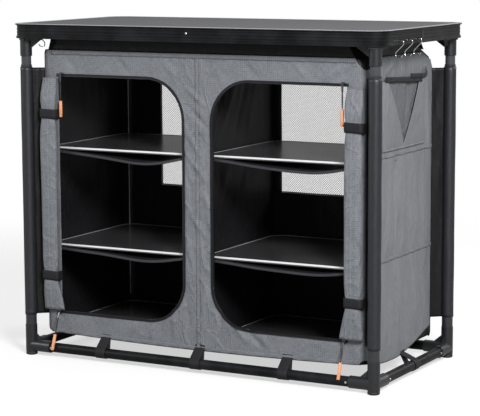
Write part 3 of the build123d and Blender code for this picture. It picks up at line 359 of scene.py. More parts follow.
@dataclass(frozen=True)
class PolishedMetal(Finish):
    """Drawn and plated or tumbled metal: bright, with faint rub marks."""

    def pattern(self, tree: Tree, at: Socket) -> Look:
        """Rub marks in the height."""
        return None, sums(tree, [(grain(tree, at, 1.2 * MM, (6.0, 1.0, 1.0)), 0.00002)])


@dataclass(frozen=True)
class Cloth(Finish):
    """Base of the woven finishes, whose patterns follow the piece's own flat cut."""

    thread: float = 1.1 * MM

    def place(self, tree: Tree) -> Socket:
        """Return the cut's flat coordinates, in metres."""
        return node(tree, "ShaderNodeUVMap", uv_map=CUT_UV).outputs[0]

    def weave(self, tree: Tree, at: Socket) -> tuple[Socket, Socket]:
        """Return the weft's and the warp's coordinate."""
        split = node(tree, "ShaderNodeSeparateXYZ", {0: at})
        return split.outputs[0], split.outputs[1]


@dataclass(frozen=True)
class RipstopPolyester(Cloth):
    """Coated ripstop polyester: plain weave with a doubled thread every few millimetres.

    The grid is 5.2 mm, about the real one; its threads are drawn 1.6 mm wide, coarser than the
    real 0.5 mm, so that they show in the picture.
    """

    light: str = "#7e8186"
    dark: str = "#55585d"
    grid: float = 5.2 * MM
    grid_show: float = 0.55
    crumple: float = 0.0016
    crease_run: tuple[float, float, float] = (1.0, 1.7, 1.0)
    calm: float = 0.3

    def pattern(self, tree: Tree, at: Socket) -> Look:
        """Heathered threads, the doubled grid, soft soiling and the coating's crinkle."""
        across, along = self.weave(tree, at)
        weft = grain(tree, at, 1.6 * MM, (7.0, 1.0, 1.0))
        warp = grain(tree, at, 1.6 * MM, (1.0, 7.0, 1.0))
        cloud = grain(tree, at, 70 * MM, detail=4.0)
        heather = sums(tree, [(weft, 0.5), (warp, 0.5)])
        body = mixed(tree, ramp(tree, heather, (0.38, 0.62)), self.colour, self.dark)
        body = mixed(tree, ramp(tree, cloud, (0.35, 0.8), (0.0, 0.35)), body, self.light)
        rows = threads(tree, along, self.grid, 0.3)
        columns = threads(tree, across, self.grid, 0.3)
        lines = maths(tree, "MAXIMUM", rows, columns)
        colour = mixed(tree, sums(tree, [(lines, self.grid_show)]), body, self.light)
        crinkle = grain(tree, at, 14 * MM, (1.0, 1.8, 1.0), detail=4.0)
        return colour, sums(
            tree,
            [
                (lines, 0.0001),
                (heather, 0.00012),
                (crinkle, 0.0014),
                (self.creases(tree, at, 70 * MM), self.crumple),
                (self.creases(tree, at, 30 * MM), self.crumple / 2),
            ],
        )

    def creases(self, tree: Tree, at: Socket, size: float) -> Socket:
        """Return crooked crease lines about a size apart, fainter away from the middle."""
        value = grain(tree, at, size, self.crease_run, detail=1.0)
        off = maths(tree, "ABSOLUTE", maths(tree, "SUBTRACT", value, 0.5))
        lines = ramp(tree, off, (0.0, 0.055), (1.0, 0.0))
        aside = maths(tree, "ABSOLUTE", self.weave(tree, at)[0])
        share = ramp(tree, aside, (0.045, 0.11), (1.0, self.calm))
        return maths(tree, "MULTIPLY", lines, share)


@dataclass(frozen=True)
class KnittedNet(Cloth):
    """Net knitted of one polyester yarn: strands of loops, with painted shade where they lie
    deeper.
    """

    stitch: float = 2.2 * MM
    # Colour of the painted shade where the loops lie deeper
    deep: str = "#b4b4b3"

    def pattern(self, tree: Tree, at: Socket) -> Look:
        """Loops along both directions of the strands, in the colour and the height."""
        across, along = self.weave(tree, at)
        rising = threads(tree, sums(tree, [(across, 1.0), (along, 1.0)]), self.stitch, 0.6)
        falling = threads(tree, sums(tree, [(across, 1.0), (along, -1.0)]), self.stitch, 0.6)
        loops = sums(tree, [(rising, 0.5), (falling, 0.5)])
        worn = grain(tree, at, 40 * MM, detail=3.0)
        # Painted shade: the colour turns to the deeper grey away from the strands' middles, more
        # so in random clouds
        share = sums(tree, [(loops, -0.8), (ramp(tree, worn, (0.3, 0.7)), 0.3)])
        share = maths(tree, "ADD", share, 0.8)
        return mixed(tree, share, self.colour, self.deep), sums(tree, [(loops, 0.0002)])


@dataclass(frozen=True)
class BlackTaffeta(Cloth):
    """Black polyester taffeta: thin plain weave with a soft sheen on its small creases."""

    # Colour of the painted sheen on the small creases
    light: str = "#1d1d20"
    crease: float = 0.0024

    def pattern(self, tree: Tree, at: Socket) -> Look:
        """Creases that run up the cloth, fine threads, and a painted sheen that lightens the small
        creases.
        """
        across = self.weave(tree, at)[0]
        long_crease = grain(tree, at, 26 * MM, (1.0, 4.5, 1.0), detail=3.0)
        small_crease = grain(tree, at, 9 * MM, (1.0, 2.0, 1.0), detail=4.0)
        line = threads(tree, across, self.thread, 0.5)
        # Painted sheen: the colour is lighter where the small creases stand up
        colour = mixed(tree, ramp(tree, small_crease, (0.45, 0.8)), self.colour, self.light)
        height = sums(
            tree,
            [(long_crease, self.crease), (small_crease, self.crease / 4), (line, 0.00003)],
        )
        return colour, height


@dataclass(frozen=True)
class RibbedWebbing(Cloth):
    """Woven polyester webbing: ribs along its length.

    The ribs are drawn 2.4 mm apart, coarser than the real 1.2 mm, so that they show.
    """

    rib: float = 2.4 * MM
    light: str = "#2a2a2d"

    def pattern(self, tree: Tree, at: Socket) -> Look:
        """Ribs in the colour and the height."""
        across, along = self.weave(tree, at)
        ribs = threads(tree, along, self.rib, 0.8)
        picks = threads(tree, across, 1.6 * MM, 0.7)
        colour = mixed(tree, ramp(tree, ribs, (0.2, 1.0), (0.0, 0.7)), self.colour, self.light)
        return colour, sums(tree, [(ribs, 0.0003), (picks, 0.0001)])


@dataclass(frozen=True)
class SewnSeam(RipstopPolyester):
    """A felled seam of the ripstop with a row of stitches along each edge.

    Stitches are 4 mm long and drawn 1.2 mm wide, so that they show.
    """

    width: float = 9 * MM
    thread_colour: str = "#47484e"

    def pattern(self, tree: Tree, at: Socket) -> Look:
        """The ripstop under two rows of stitches."""
        colour, height = super().pattern(tree, at)
        across, along = self.weave(tree, at)
        offset = maths(tree, "ABSOLUTE", along)
        row = maths(tree, "COMPARE", offset, self.width * 0.32, 0.6 * MM)
        stitch = maths(tree, "MULTIPLY", row, threads(tree, across, 5.5 * MM, 0.8))
        colour = mixed(tree, stitch, colour, self.thread_colour)
        return colour, sums(tree, [(height, 1.0), (stitch, -0.0004)])


@dataclass(frozen=True)
class CoilZip(Cloth):
    """Nylon coil zip: a twilled tape with a moulded coil, pitch 1.5 mm, drawn at 2.2 mm."""

    pitch: float = 2.2 * MM

    def pattern(self, tree: Tree, at: Socket) -> Look:
        """The coil's turns over the tape's twill."""
        across, along = self.weave(tree, at)
        coil = threads(tree, across, self.pitch, 0.7)
        inner = ramp(tree, along, (-2.8 * MM, -2.0 * MM), (1.0, 0.0))
        turns = maths(tree, "MULTIPLY", coil, inner)
        colour = mixed(tree, turns, self.colour, "#3d3d41")
        twill = grain(tree, at, 1.4 * MM, (2.5, 1.0, 1.0))
        return colour, sums(tree, [(turns, 0.0004), (twill, 0.0001)])


LAMINATE = PressedLaminate(
    "melamine laminate, grey, pressed", "#606062", 0.72, ior=1.3, bump=0.6, second="#69696b"
)
# The rim coat's pale line along the lip is a painted highlight
RIM_COAT = LippedCoat("aluminium extrusion, black powder coat", "#0e0f10", 0.3, ior=1.3, bump=0.4)
TUBE_COAT = PowderCoat("steel tube, black powder coat", "#232428", 0.26, coat=0.5, bump=0.4)
# A darker copy of the tube coat: painted shade on the rails and the brace
RAIL_SHADE_COAT = PowderCoat("steel tube, matt black powder coat", "#0d0e0f", 0.4, ior=1.25, bump=0.5)
INSERT_COAT = PowderCoat("steel tube, dark grey powder coat", "#3c3d41", 0.24, coat=0.7, bump=0.4)
MOULDING = SparkMoulding(
    "nylon, black, spark-textured moulding", "#1a1b1e", 0.36, coat=0.3, bump=0.6
)
RUBBER = SparkMoulding("rubber, black, moulded", "#1b1b1c", 0.7, bump=0.9)
RIVET = PolishedMetal("aluminium rivet, tumbled", "#d9d9db", 0.28, metallic=1.0, bump=0.4)
WIRE = PolishedMetal("steel wire, nickel plated", "#dcdcdc", 0.16, metallic=1.0, bump=0.3)
ZIP_METAL = PolishedMetal("zinc, dark plated casting", "#6d6e72", 0.3, metallic=1.0, bump=0.5)
RIPSTOP = RipstopPolyester(
    "polyester ripstop, grey, coated", "#6d7075", 0.6, ior=1.4, sheen=0.04, bump=0.9
)
SIDE_RIPSTOP = RipstopPolyester(
    "polyester ripstop, grey, coated side",
    "#6f7175",
    0.55,
    ior=1.4,
    sheen=0.04,
    bump=0.9,
    crease_run=(1.0, 4.5, 1.0),
    calm=1.0,
    grid_show=0.12,
    light="#777a7e",
    dark="#66686c",
)
# A darker copy of the ripstop: painted shade on the cloth deep in the pleat
PLEAT_SHADE_RIPSTOP = RipstopPolyester(
    "polyester ripstop, grey, inside of the pleat",
    "#5e5f63",
    0.6,
    ior=1.35,
    bump=0.9,
    grid_show=0.1,
    light="#66676b",
    dark="#56575b",
)
SEAM = SewnSeam("polyester ripstop, felled seam", "#696c71", 0.62, sheen=0.04, bump=0.9)
TAFFETA = BlackTaffeta(
    "polyester taffeta, black, woven", "#131315", 0.42, ior=1.3, sheen=0.02, bump=1.0
)
SLEEVE = BlackTaffeta(
    "polyester oxford, black, coated", "#1d1e22", 0.45, bump=0.5, light="#25262a"
)
WEBBING = RibbedWebbing(
    "polyester webbing, black, woven", "#17171a", 0.6, ior=1.3, sheen=0.02, bump=0.9
)
SLING_HEM = RibbedWebbing("polyester binding, slate, woven", "#25252c", 0.55, sheen=0.04, bump=0.8)
NETTING = KnittedNet("polyester net, pale, knitted", "#c8c8c7", 0.7, bump=0.6)
ZIP_TAPE = CoilZip("nylon coil zip on black tape", "#151518", 0.5, ior=1.35, bump=0.9)
SHELF_FACE = PressedLaminate(
    "melamine laminate, black, pressed", "#343436", 0.24, ior=2.2, bump=0.1, second="#3a3a3c"
)
# Near-white: partly the aluminium trim's own colour, partly a painted highlight along the front
# edge
FRONT_TRIM_AND_HIGHLIGHT = PolishedMetal(
    "aluminium edge trim, bright anodised", "#f4f4f6", 0.35, metallic=0.35, bump=0.4
)
# Pale grey: partly the edge band's own colour, partly a painted glint; on the back piping it is a
# painted highlight
THIN_BAND_AND_GLINT = PolishedMetal("edge band, grey vinyl, extruded", "#c4c5c8", 0.3, bump=0.4)
GRIP = SparkMoulding("vinyl grip tube, orange, extruded", "#eda477", 0.42, bump=0.6)
CORD = RibbedWebbing("polyester cord, black, braided", "#1d1d1f", 0.6, sheen=0.1, bump=0.9)


# Mesh tools -----------------------------------------------------------------------------------


@dataclass(frozen=True)
class Fold:
    """A soft ridge or valley in a cloth, from one flat point to another."""

    start: tuple[float, float]
    end: tuple[float, float]
    width: float
    depth: float
    over: float = 0.1  # share of its length by which it runs on past each end

    def lift(self, across: float, up: float) -> float:
        """Return how far the fold lifts the cloth at a flat point."""
        run = (self.end[0] - self.start[0], self.end[1] - self.start[1])
        length = math.hypot(*run)
        off = (across - self.start[0], up - self.start[1])
        along = (off[0] * run[0] + off[1] * run[1]) / length**2
        if not -self.over < along < 1 + self.over:
            return 0.0
        aside = (off[0] * run[1] - off[1] * run[0]) / length
        taper = math.sin(math.pi * (along + self.over) / (1 + 2 * self.over))
        return self.depth * taper * bell(aside, self.width)


def folds(*rows: tuple[float, ...]) -> tuple[Fold, ...]:
    """Make folds out of rows of millimetres: both ends' across and up, the width, the depth."""
    made = []
    for row in rows:
        ax, ay, bx, by, width, depth = (value * MM for value in row)
        made.append(Fold((ax, ay), (bx, by), width, depth))
    return tuple(made)


@dataclass(frozen=True)
class Drape:
    """How a cloth lies off its plane: folds and an uneven ripple."""

    folds: tuple[Fold, ...] = ()
    ripple: float = 0.0
    ripple_size: tuple[float, float] = (0.1, 0.1)
    seed: float = 0.0

    def lift(self, across: float, up: float) -> float:
        """Return how far the cloth stands off its plane at a flat point."""
        total = sum(fold.lift(across, up) for fold in self.folds)
        if self.ripple:
            point = Vector((across / self.ripple_size[0], up / self.ripple_size[1], self.seed))
            total += self.ripple * noise.noise(point)
        return total


def flat_cut(
    low: tuple[float, float], high: tuple[float, float], steps: tuple[int, int]
) -> Mesh:
    """Lay out a rectangle of cloth, flat, in its own coordinates.

    Args:
        low: Lower left corner in metres.
        high: Upper right corner in metres.
        steps: Cells across and up.

    Returns:
        A mesh in the XY plane.
    """
    cut = bmesh.new()
    bmesh.ops.create_grid(cut, x_segments=steps[0], y_segments=steps[1], size=0.5)
    size = Vector((high[0] - low[0], high[1] - low[1], 1.0))
    bmesh.ops.scale(cut, vec=size, verts=cut.verts)
    middle = Vector(((high[0] + low[0]) / 2, (high[1] + low[1]) / 2, 0.0))
    bmesh.ops.translate(cut, vec=middle, verts=cut.verts)
    return cut


def split(cut: Mesh, point: tuple[float, float], normal: tuple[float, float]) -> None:
    """Divide a flat cut along a line through a point, without moving anything."""
    bmesh.ops.bisect_plane(
        cut,
        geom=[*cut.verts, *cut.edges, *cut.faces],
        plane_co=(*point, 0),
        plane_no=(*normal, 0),
    )


def slit_across(cut: Mesh, *heights: float) -> None:
    """Divide a flat cut along level lines."""
    for height in heights:
        split(cut, (0, height), (0, 1))


def slit_up(cut: Mesh, *places: float) -> None:
    """Divide a flat cut along upright lines."""
    for place in places:
        split(cut, (place, 0), (1, 0))


def cut_away(cut: Mesh, inside: Callable[[float, float], bool]) -> None:
    """Remove the faces of a flat cut whose middles are inside a shape."""
    gone = [f for f in cut.faces if inside(*f.calc_center_median()[:2])]
    bmesh.ops.delete(cut, geom=gone, context="FACES")


def lay_out(mesh: Mesh, flat: Callable[[Vector], Sequence[float]]) -> None:
    """Write the flat coordinates that a cloth's pattern reads, from each vertex's place."""
    layer = mesh.loops.layers.uv.new(CUT_UV)
    for face in mesh.faces:
        for loop in face.loops:
            loop[layer].uv = flat(loop.vert.co)


def face_out(mesh: Mesh, outward: Vector) -> None:
    """Turn a mesh's faces round if most of them point the wrong way."""
    mesh.normal_update()
    if sum(face.normal.dot(outward) for face in mesh.faces) < 0:
        bmesh.ops.reverse_faces(mesh, faces=mesh.faces)


def flat_area(mesh: Mesh) -> float:
    """Return the area of all faces, in square metres."""
    return sum(face.calc_area() for face in mesh.faces)


def hang(
    cut: Mesh,
    place: Callable[[float, float], Vector],
    flip: bool = False,
    close: bool = False,
) -> None:
    """Hang a flat cut in its place, keeping its flat coordinates as its UV map.

    Args:
        cut: The flat cut.
        place: Gives the place of a flat point.
        flip: Whether the faces have to be turned round to point outwards.
        close: Whether two edges meet and are joined.
    """
    lay_out(cut, lambda point: point.xy)
    for vert in cut.verts:
        vert.co = place(vert.co.x, vert.co.y)
    if close:
        bmesh.ops.remove_doubles(cut, verts=cut.verts, dist=0.02 * MM)
    if flip:
        bmesh.ops.reverse_faces(cut, faces=cut.faces)


def trim(mesh: Mesh, point: Vector, outward: Vector) -> list[bmesh.types.BMEdge]:
    """Cut off what lies outside a plane, and return the new edges."""
    done = bmesh.ops.bisect_plane(
        mesh,
        geom=[*mesh.verts, *mesh.edges, *mesh.faces],
        plane_co=point,
        plane_no=outward,
        clear_outer=True,
    )
    return [part for part in done["geom_cut"] if isinstance(part, bmesh.types.BMEdge)]


@dataclass(frozen=True)
class Route:
    """A line through points, read by the distance along it."""

    points: tuple[Vector, ...]
    marks: tuple[float, ...] = field(init=False)

    def __post_init__(self) -> None:
        """Measure the distance to each point."""
        marks = [0.0]
        for a, b in zip(self.points, self.points[1:]):
            marks.append(marks[-1] + (b - a).length)
        object.__setattr__(self, "marks", tuple(marks))

    @property
    def length(self) -> float:
        """Whole length of the line."""
        return self.marks[-1]

    def at(self, distance: float) -> tuple[Vector, Vector]:
        """Return the point and the direction at a distance along the line."""
        distance = min(max(distance, 0.0), self.length)
        leg = 0
        while leg < len(self.points) - 2 and self.marks[leg + 1] < distance:
            leg += 1
        a, b = self.points[leg], self.points[leg + 1]
        share = (distance - self.marks[leg]) / max(self.marks[leg + 1] - self.marks[leg], 1e-9)
        heading = self.direction(leg)
        after = self.direction(leg + 1) if share > 0.5 else self.direction(leg - 1)
        blend = abs(share - 0.5)
        return a.lerp(b, share), (heading * (1 - blend) + after * blend).normalized()

    def direction(self, leg: int) -> Vector:
        """Return the direction of one leg of the line, held at its ends."""
        leg = min(max(leg, 0), len(self.points) - 2)
        return (self.points[leg + 1] - self.points[leg]).normalized()


def arc(
    middle: tuple[float, float], radius: float, start: float, end: float, steps: int = 10
) -> list[Vector]:
    """Return points on an arc in a flat plane; angles are in degrees."""
    made = []
    for step in range(steps + 1):
        angle = math.radians(start + (end - start) * step / steps)
        made.append(
            Vector((middle[0] + radius * math.cos(angle), middle[1] + radius * math.sin(angle)))
        )
    return made


def tidy(points: Sequence[Vector]) -> tuple[Vector, ...]:
    """Drop points that repeat the one before."""
    kept = [points[0]]
    for point in points[1:]:
        if (point - kept[-1]).length > 1e-6:
            kept.append(point)
    return tuple(kept)


class Workshop:
    """Turns meshes to finished pieces that ride on their bodies."""

    @staticmethod
    def piece(
        name: str,
        mesh: Mesh,
        finishes: Sequence[Finish],
        body: str,
        slot: str,
        stands_for: Sequence[str] = (),
        thick: float = 0.0,
        offset: float = -1.0,
        smooth: bool = True,
        subdivide: int = 0,
    ) -> bpy.types.Object:
        """Make one piece.

        Args:
            name: The piece's name.
            mesh: Its shape, in place; it is used up.
            finishes: Its finish, and the finish of its other side where it has one.
            body: The CAD body that it rides on.
            slot: Not used.
            stands_for: CAD nodes that it replaces.
            thick: Thickness of a cloth in metres, or 0 for a shape that is closed.
            offset: Which side of the cloth the thickness goes to.
            smooth: Whether it is shaded smooth.
            subdivide: Levels of subdivision.

        Returns:
            The piece.
        """
        data = bpy.data.meshes.new(name)
        for face in mesh.faces:
            face.smooth = smooth
        mesh.to_mesh(data)
        mesh.free()
        made = bpy.data.objects.new(name, data)
        bpy.context.collection.objects.link(made)
        for finish in finishes:
            data.materials.append(finish.make())
        if subdivide:
            modifier = made.modifiers.new("round", "SUBSURF")
            modifier.levels = modifier.render_levels = subdivide
        if thick:
            modifier = made.modifiers.new("cloth", "SOLIDIFY")
            modifier.thickness = thick
            modifier.offset = offset
            if len(finishes) > 1:
                modifier.material_offset = 1
        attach(made, body)
        if stands_for:
            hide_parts(*stands_for)
        LOG.info("made %s", name)
        return made

    @staticmethod
    def coat(finish: Finish, *names: str) -> None:
        """Give CAD nodes a finish."""
        for name in names:
            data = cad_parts[name].data
            data.materials.clear()
            data.materials.append(finish.make())
            LOG.info("coated %s", name)


# The cloth body -------------------------------------------------------------------------------


@dataclass(frozen=True)
class BodySizes:
    """Sizes of the hanging body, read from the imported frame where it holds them."""

    half_w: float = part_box("back_panel")[1].x
    half_d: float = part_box("back_panel")[1].y
    bottom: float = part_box("back_panel")[0].z
    top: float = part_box("back_panel")[1].z
    corner_r: float = 22 * MM
    cloth: float = 0.9 * MM
    # Where the corners are cut off
    front_top: Setbacks = ((0.032, 0.032, 0.045),)
    front_top_left: Setbacks = ((0.020, 0.020, 0.026),)
    back_top: Setbacks = ((0.040, 0.100, 0.034), (0.024, 0.046, 0.082))
    front_bottom: Setbacks = ((0.020, 0.020, 0.032),)
    back_bottom: Setbacks = ((0.020, 0.024, 0.030),)

    def corner_planes(self, side: Side, end: End, top: bool) -> list[tuple[Vector, Vector]]:
        """Return a point and the outward direction of each plane that cuts one corner."""
        if end is End.FRONT:
            upper = self.front_top_left if side is Side.LEFT else self.front_top
            setbacks = upper if top else self.front_bottom
        else:
            setbacks = self.back_top if top else self.back_bottom
        edge, up = (self.top, 1) if top else (self.bottom, -1)
        return [
            (
                Vector((side.value * (self.half_w - x), end.value * self.half_d, edge)),
                Vector((side.value / x, end.value / y, up / z)).normalized(),
            )
            for x, y, z in setbacks
        ]

    def trim_corners(self, mesh: Mesh) -> None:
        """Cut all the body's corners off a mesh."""
        for side, end in CORNERS:
            for top in (True, False):
                for point, outward in self.corner_planes(side, end, top):
                    trim(mesh, point, outward)


@dataclass(frozen=True)
class EndWall:
    """The front or back face of the body, with half of each upright corner."""

    sizes: BodySizes
    end: End
    drape: Drape

    @property
    def outward(self) -> Vector:
        """Direction that the wall faces."""
        return Vector((0, self.end.value, 0))

    @property
    def reach(self) -> float:
        """Half the flat width, round both corners."""
        flat = self.sizes.half_w - self.sizes.corner_r
        return flat + self.sizes.corner_r * math.pi / 2

    def surface(self, across: float, up: float, rise: float = 0.0) -> Vector:
        """Return the place of a flat point, raised off the cloth."""
        radius = self.sizes.corner_r
        flat = self.sizes.half_w - radius
        turn = max(abs(across) - flat, 0.0) / radius
        side = math.copysign(1.0, across)
        edge = self.sizes.top - up, up - self.sizes.bottom
        calm = clamp(min(edge) / EDGE_RUN) * (1 - min(turn, 1.0))
        lift = rise + self.drape.lift(across, up) * calm
        x = side * (min(abs(across), flat) + math.sin(turn) * (radius + lift))
        y = self.sizes.half_d - radius + math.cos(turn) * (radius + lift)
        return Vector((x, self.end.value * y, up))


@dataclass(frozen=True)
class SideWall:
    """One short face of the body, between its upright corners; across is Y."""

    sizes: BodySizes
    side: Side
    drape: Drape
    # The lower edge: its lowest point, then the run and rise of a curve to the front, of one to
    # the back, and of a straight line on from that
    lowest: tuple[float, float] = (-0.050, 0.045)
    front_curve: tuple[float, float] = (0.133, 0.015)
    back_curve: tuple[float, float] = (0.090, 0.0075)
    back_line: tuple[float, float] = (0.143, 0.0355)

    @property
    def outward(self) -> Vector:
        """Direction that the wall faces."""
        return Vector((self.side.value, 0, 0))

    @property
    def reach(self) -> float:
        """Half the flat width."""
        return self.sizes.half_d - self.sizes.corner_r

    def lower_edge(self, across: float) -> float:
        """Return the height of the sagging lower edge."""
        along = across - self.lowest[0]
        run, rise = self.front_curve if along < 0 else self.back_curve
        if along <= run:
            return self.lowest[1] + rise * (along / run) ** 2
        return self.lowest[1] + rise + (along - run) / self.back_line[0] * self.back_line[1]

    def surface(self, across: float, up: float, rise: float = 0.0) -> Vector:
        """Return the place of a flat point, raised off the cloth."""
        edge = self.reach - abs(across), self.sizes.top - up
        calm = clamp(edge[0] / EDGE_RUN) * clamp(edge[1] / EDGE_RUN)
        lift = rise + self.drape.lift(across, up) * calm
        return Vector((self.side.value * (self.sizes.half_w + lift), across, up))


Wall = EndWall | SideWall


@dataclass(frozen=True)
class Doorway:
    """A door's opening: square at the outer corners and round at the inner ones."""

    inner: float = 0.042
    outer: float = 0.400
    bottom: float = 0.118
    top: float = 0.718
    radius: float = 0.100

    def gap(self, across: float, up: float) -> float:
        """Return the distance from the outline, negative inside the opening."""
        across = abs(across)
        corner = (
            self.inner + self.radius - across,
            max(self.bottom + self.radius - up, up - self.top + self.radius),
        )
        if corner[0] > 0 and corner[1] > 0:
            return math.hypot(*corner) - self.radius
        return max(self.inner - across, across - self.outer, self.bottom - up, up - self.top)

    def slope(self, across: float, up: float) -> Vector:
        """Return the direction in which the distance from the outline grows."""
        step = 1e-4
        return Vector(
            (
                self.gap(across + step, up) - self.gap(across - step, up),
                self.gap(across, up + step) - self.gap(across, up - step),
                0,
            )
        )

    def outline(self, side: Side, grow: float, reach: float) -> Route:
        """Return the line round the opening, from its outer top corner to its outer bottom one.

        Args:
            side: Which door.
            grow: How far outside the opening the line runs.
            reach: How far it runs on past the outer corners.

        Returns:
            The line, in the wall's flat coordinates.
        """
        radius = self.radius + grow
        middle_x = self.inner + self.radius
        end = self.outer + reach
        points = [Vector((end, self.top + grow)), Vector((self.outer, self.top + grow))]
        points += arc((middle_x, self.top - self.radius), radius, 90, 180)
        points += arc((middle_x, self.bottom + self.radius), radius, 180, 270)
        points += [Vector((self.outer, self.bottom - grow)), Vector((end, self.bottom - grow))]
        return Route(tidy([Vector((side.value * p.x, p.y)) for p in points]))


def ribbon(
    wall: Wall,
    route: Route,
    width: float,
    rise: Callable[[float, float], float],
    step: float = 8 * MM,
    rows: int = 4,
) -> Mesh:
    """Lay a narrow strip on a wall, along a line.

    Args:
        wall: The wall that it is sewn to.
        route: The line, in the wall's flat coordinates.
        width: Width of the strip.
        rise: Gives the height off the cloth, from the distances along and across the strip.
        step: Length of a cell.
        rows: Cells across.

    Returns:
        The strip; it faces outwards.
    """
    cells = max(2, round(route.length / step))
    cut = flat_cut((0, -width / 2), (route.length, width / 2), (cells, rows))

    def place(along: float, aside: float) -> Vector:
        """Return the place of a point of the strip."""
        point, heading = route.at(along)
        normal = Vector((-heading.y, heading.x))
        spot = point + normal * aside
        return wall.surface(spot.x, spot.y, rise(along, aside))

    hang(cut, place)
    face_out(cut, wall.outward)
    return cut


@dataclass
class ClothBody:
    """The hanging body: its walls, floor, divider, slings, band and corner facets."""

    shop: Workshop
    sizes: BodySizes
    front: EndWall
    back: EndWall
    sides: dict[Side, SideWall]
    door: Doorway = Doorway()
    cell: float = 4 * MM
    sag: float = 8 * MM  # how far the front wall's lower edge hangs down
    sag_half: float = 0.43
    window_half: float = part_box("back_mesh")[1].x
    window_low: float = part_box("back_mesh")[0].z
    window_high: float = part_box("back_mesh")[1].z

    def build(self) -> None:
        """Make every cloth of the body."""
        self.front_wall()
        self.back_wall()
        self.netting()
        for side in Side:
            self.side_wall(side)
        self.floor()
        self.divider()
        for level in Level:
            for side in Side:
                self.sling(level, side)
        for name in ("front", "back"):
            self.band(name, -0.420, 0.420)
        for name in ("left", "right"):
            self.band(name, -0.173, 0.105)
        for side, end in CORNERS:
            for top in (True, False):
                self.corner_facet(side, end, top)
        self.seams()
        self.linings()

    def wall_cut(self, wall: EndWall) -> Mesh:
        """Return the flat cut of an end wall."""
        low, high = self.sizes.bottom, self.sizes.top
        steps = round(2 * wall.reach / self.cell), round((high - low) / self.cell)
        return flat_cut((-wall.reach, low), (wall.reach, high), steps)

    def cut_doorways(self, cut: Mesh) -> None:
        """Cut both doorways out of the front wall's flat cut, with smooth round corners."""
        door = self.door
        for side in Side:
            slit_up(cut, side.value * door.inner, side.value * door.outer)
        slit_across(cut, door.bottom, door.top)
        for vert in cut.verts:
            across, up = vert.co.x, vert.co.y
            gap = door.gap(across, up)
            if 0 < abs(gap) < 0.6 * self.cell:
                # Move the vertex on to the outline, straight across it
                slope = door.slope(across, up)
                if slope.length > 1e-6:
                    vert.co -= slope.normalized() * gap
        cut_away(cut, lambda across, up: door.gap(across, up) < -1e-4)
        for vert in cut.verts:
            across, up = vert.co.x, vert.co.y
            corner_x = abs(across) - door.inner - door.radius
            corner_up = max(door.bottom + door.radius - up, up - door.top + door.radius)
            if vert.is_boundary and door.gap(across, up) < 0 and corner_x < 0 and corner_up > 0:
                # Push a cell's corner that is left inside the opening out to the round corner
                lower = up < (door.bottom + door.top) / 2
                middle_x = math.copysign(door.inner + door.radius, across)
                middle_up = door.bottom + door.radius if lower else door.top - door.radius
                middle = Vector((middle_x, middle_up, 0))
                vert.co = middle + (vert.co - middle).normalized() * door.radius

    def front_wall(self) -> None:
        """Make the front wall with its two doorways; black inside."""
        cut = self.wall_cut(self.front)
        self.cut_doorways(cut)
        door = self.door
        margin = door.bottom - self.sizes.bottom
        for vert in cut.verts:
            # The lower edge hangs in a shallow curve
            under = max(0.0, (door.bottom - vert.co.y) / margin)
            vert.co.y -= self.sag * under * max(0.0, 1 - (vert.co.x / self.sag_half) ** 2)
        hang(cut, self.front.surface)
        self.sizes.trim_corners(cut)
        finishes, nodes = (RIPSTOP, TAFFETA), ("front_panel",)
        made = self.shop.piece(
            "wall_front", cut, finishes, "base", "grey_cloth", nodes, self.sizes.cloth
        )

    def back_wall(self) -> None:
        """Make the back wall with its window."""
        cut = self.wall_cut(self.back)
        slit_up(cut, -self.window_half, self.window_half)
        slit_across(cut, self.window_low, self.window_high)
        cut_away(
            cut,
            lambda across, up: abs(across) < self.window_half
            and self.window_low < up < self.window_high,
        )
        hang(cut, self.back.surface, flip=True)
        self.sizes.trim_corners(cut)
        made = self.shop.piece(
            "wall_back", cut, (TAFFETA,), "base", "black_cloth", ("back_panel",), self.sizes.cloth
        )

    def netting(self) -> None:
        """Make the window's net: diagonal strands with square holes.

        The strands are 4.4 mm apart, coarser than the real 1.5 mm, so that they show.
        """
        pitch, strand, border, inset = 4.4 * MM, 1.5 * MM, 4 * MM, 1.5 * MM
        reach = math.hypot(self.window_half, (self.window_high - self.window_low) / 2) + pitch
        steps = round(2 * reach / pitch)
        cut = flat_cut((-reach, -reach), (reach, reach), (steps, steps))
        bmesh.ops.rotate(cut, verts=cut.verts, matrix=Matrix.Rotation(math.radians(45), 3, "Z"))
        centre = Vector((0, (self.window_low + self.window_high) / 2, 0))
        bmesh.ops.translate(cut, vec=centre, verts=cut.verts)
        for point, outward in (
            ((self.window_half + border, 0, 0), (1, 0, 0)),
            ((-self.window_half - border, 0, 0), (-1, 0, 0)),
            ((0, self.window_high + border, 0), (0, 1, 0)),
            ((0, self.window_low - border, 0), (0, -1, 0)),
        ):
            trim(cut, Vector(point), Vector(outward))
        holes = [f for f in cut.faces if len(f.verts) == 4]
        bmesh.ops.inset_individual(cut, faces=holes, thickness=strand / 2)
        bmesh.ops.delete(cut, geom=[f for f in holes if f.is_valid], context="FACES_ONLY")
        hang(cut, lambda across, up: self.back.surface(across, up, -inset), flip=True)
        area = flat_area(cut)
        made = self.shop.piece("window_net", cut, (NETTING,), "base", "net", ("back_mesh",))

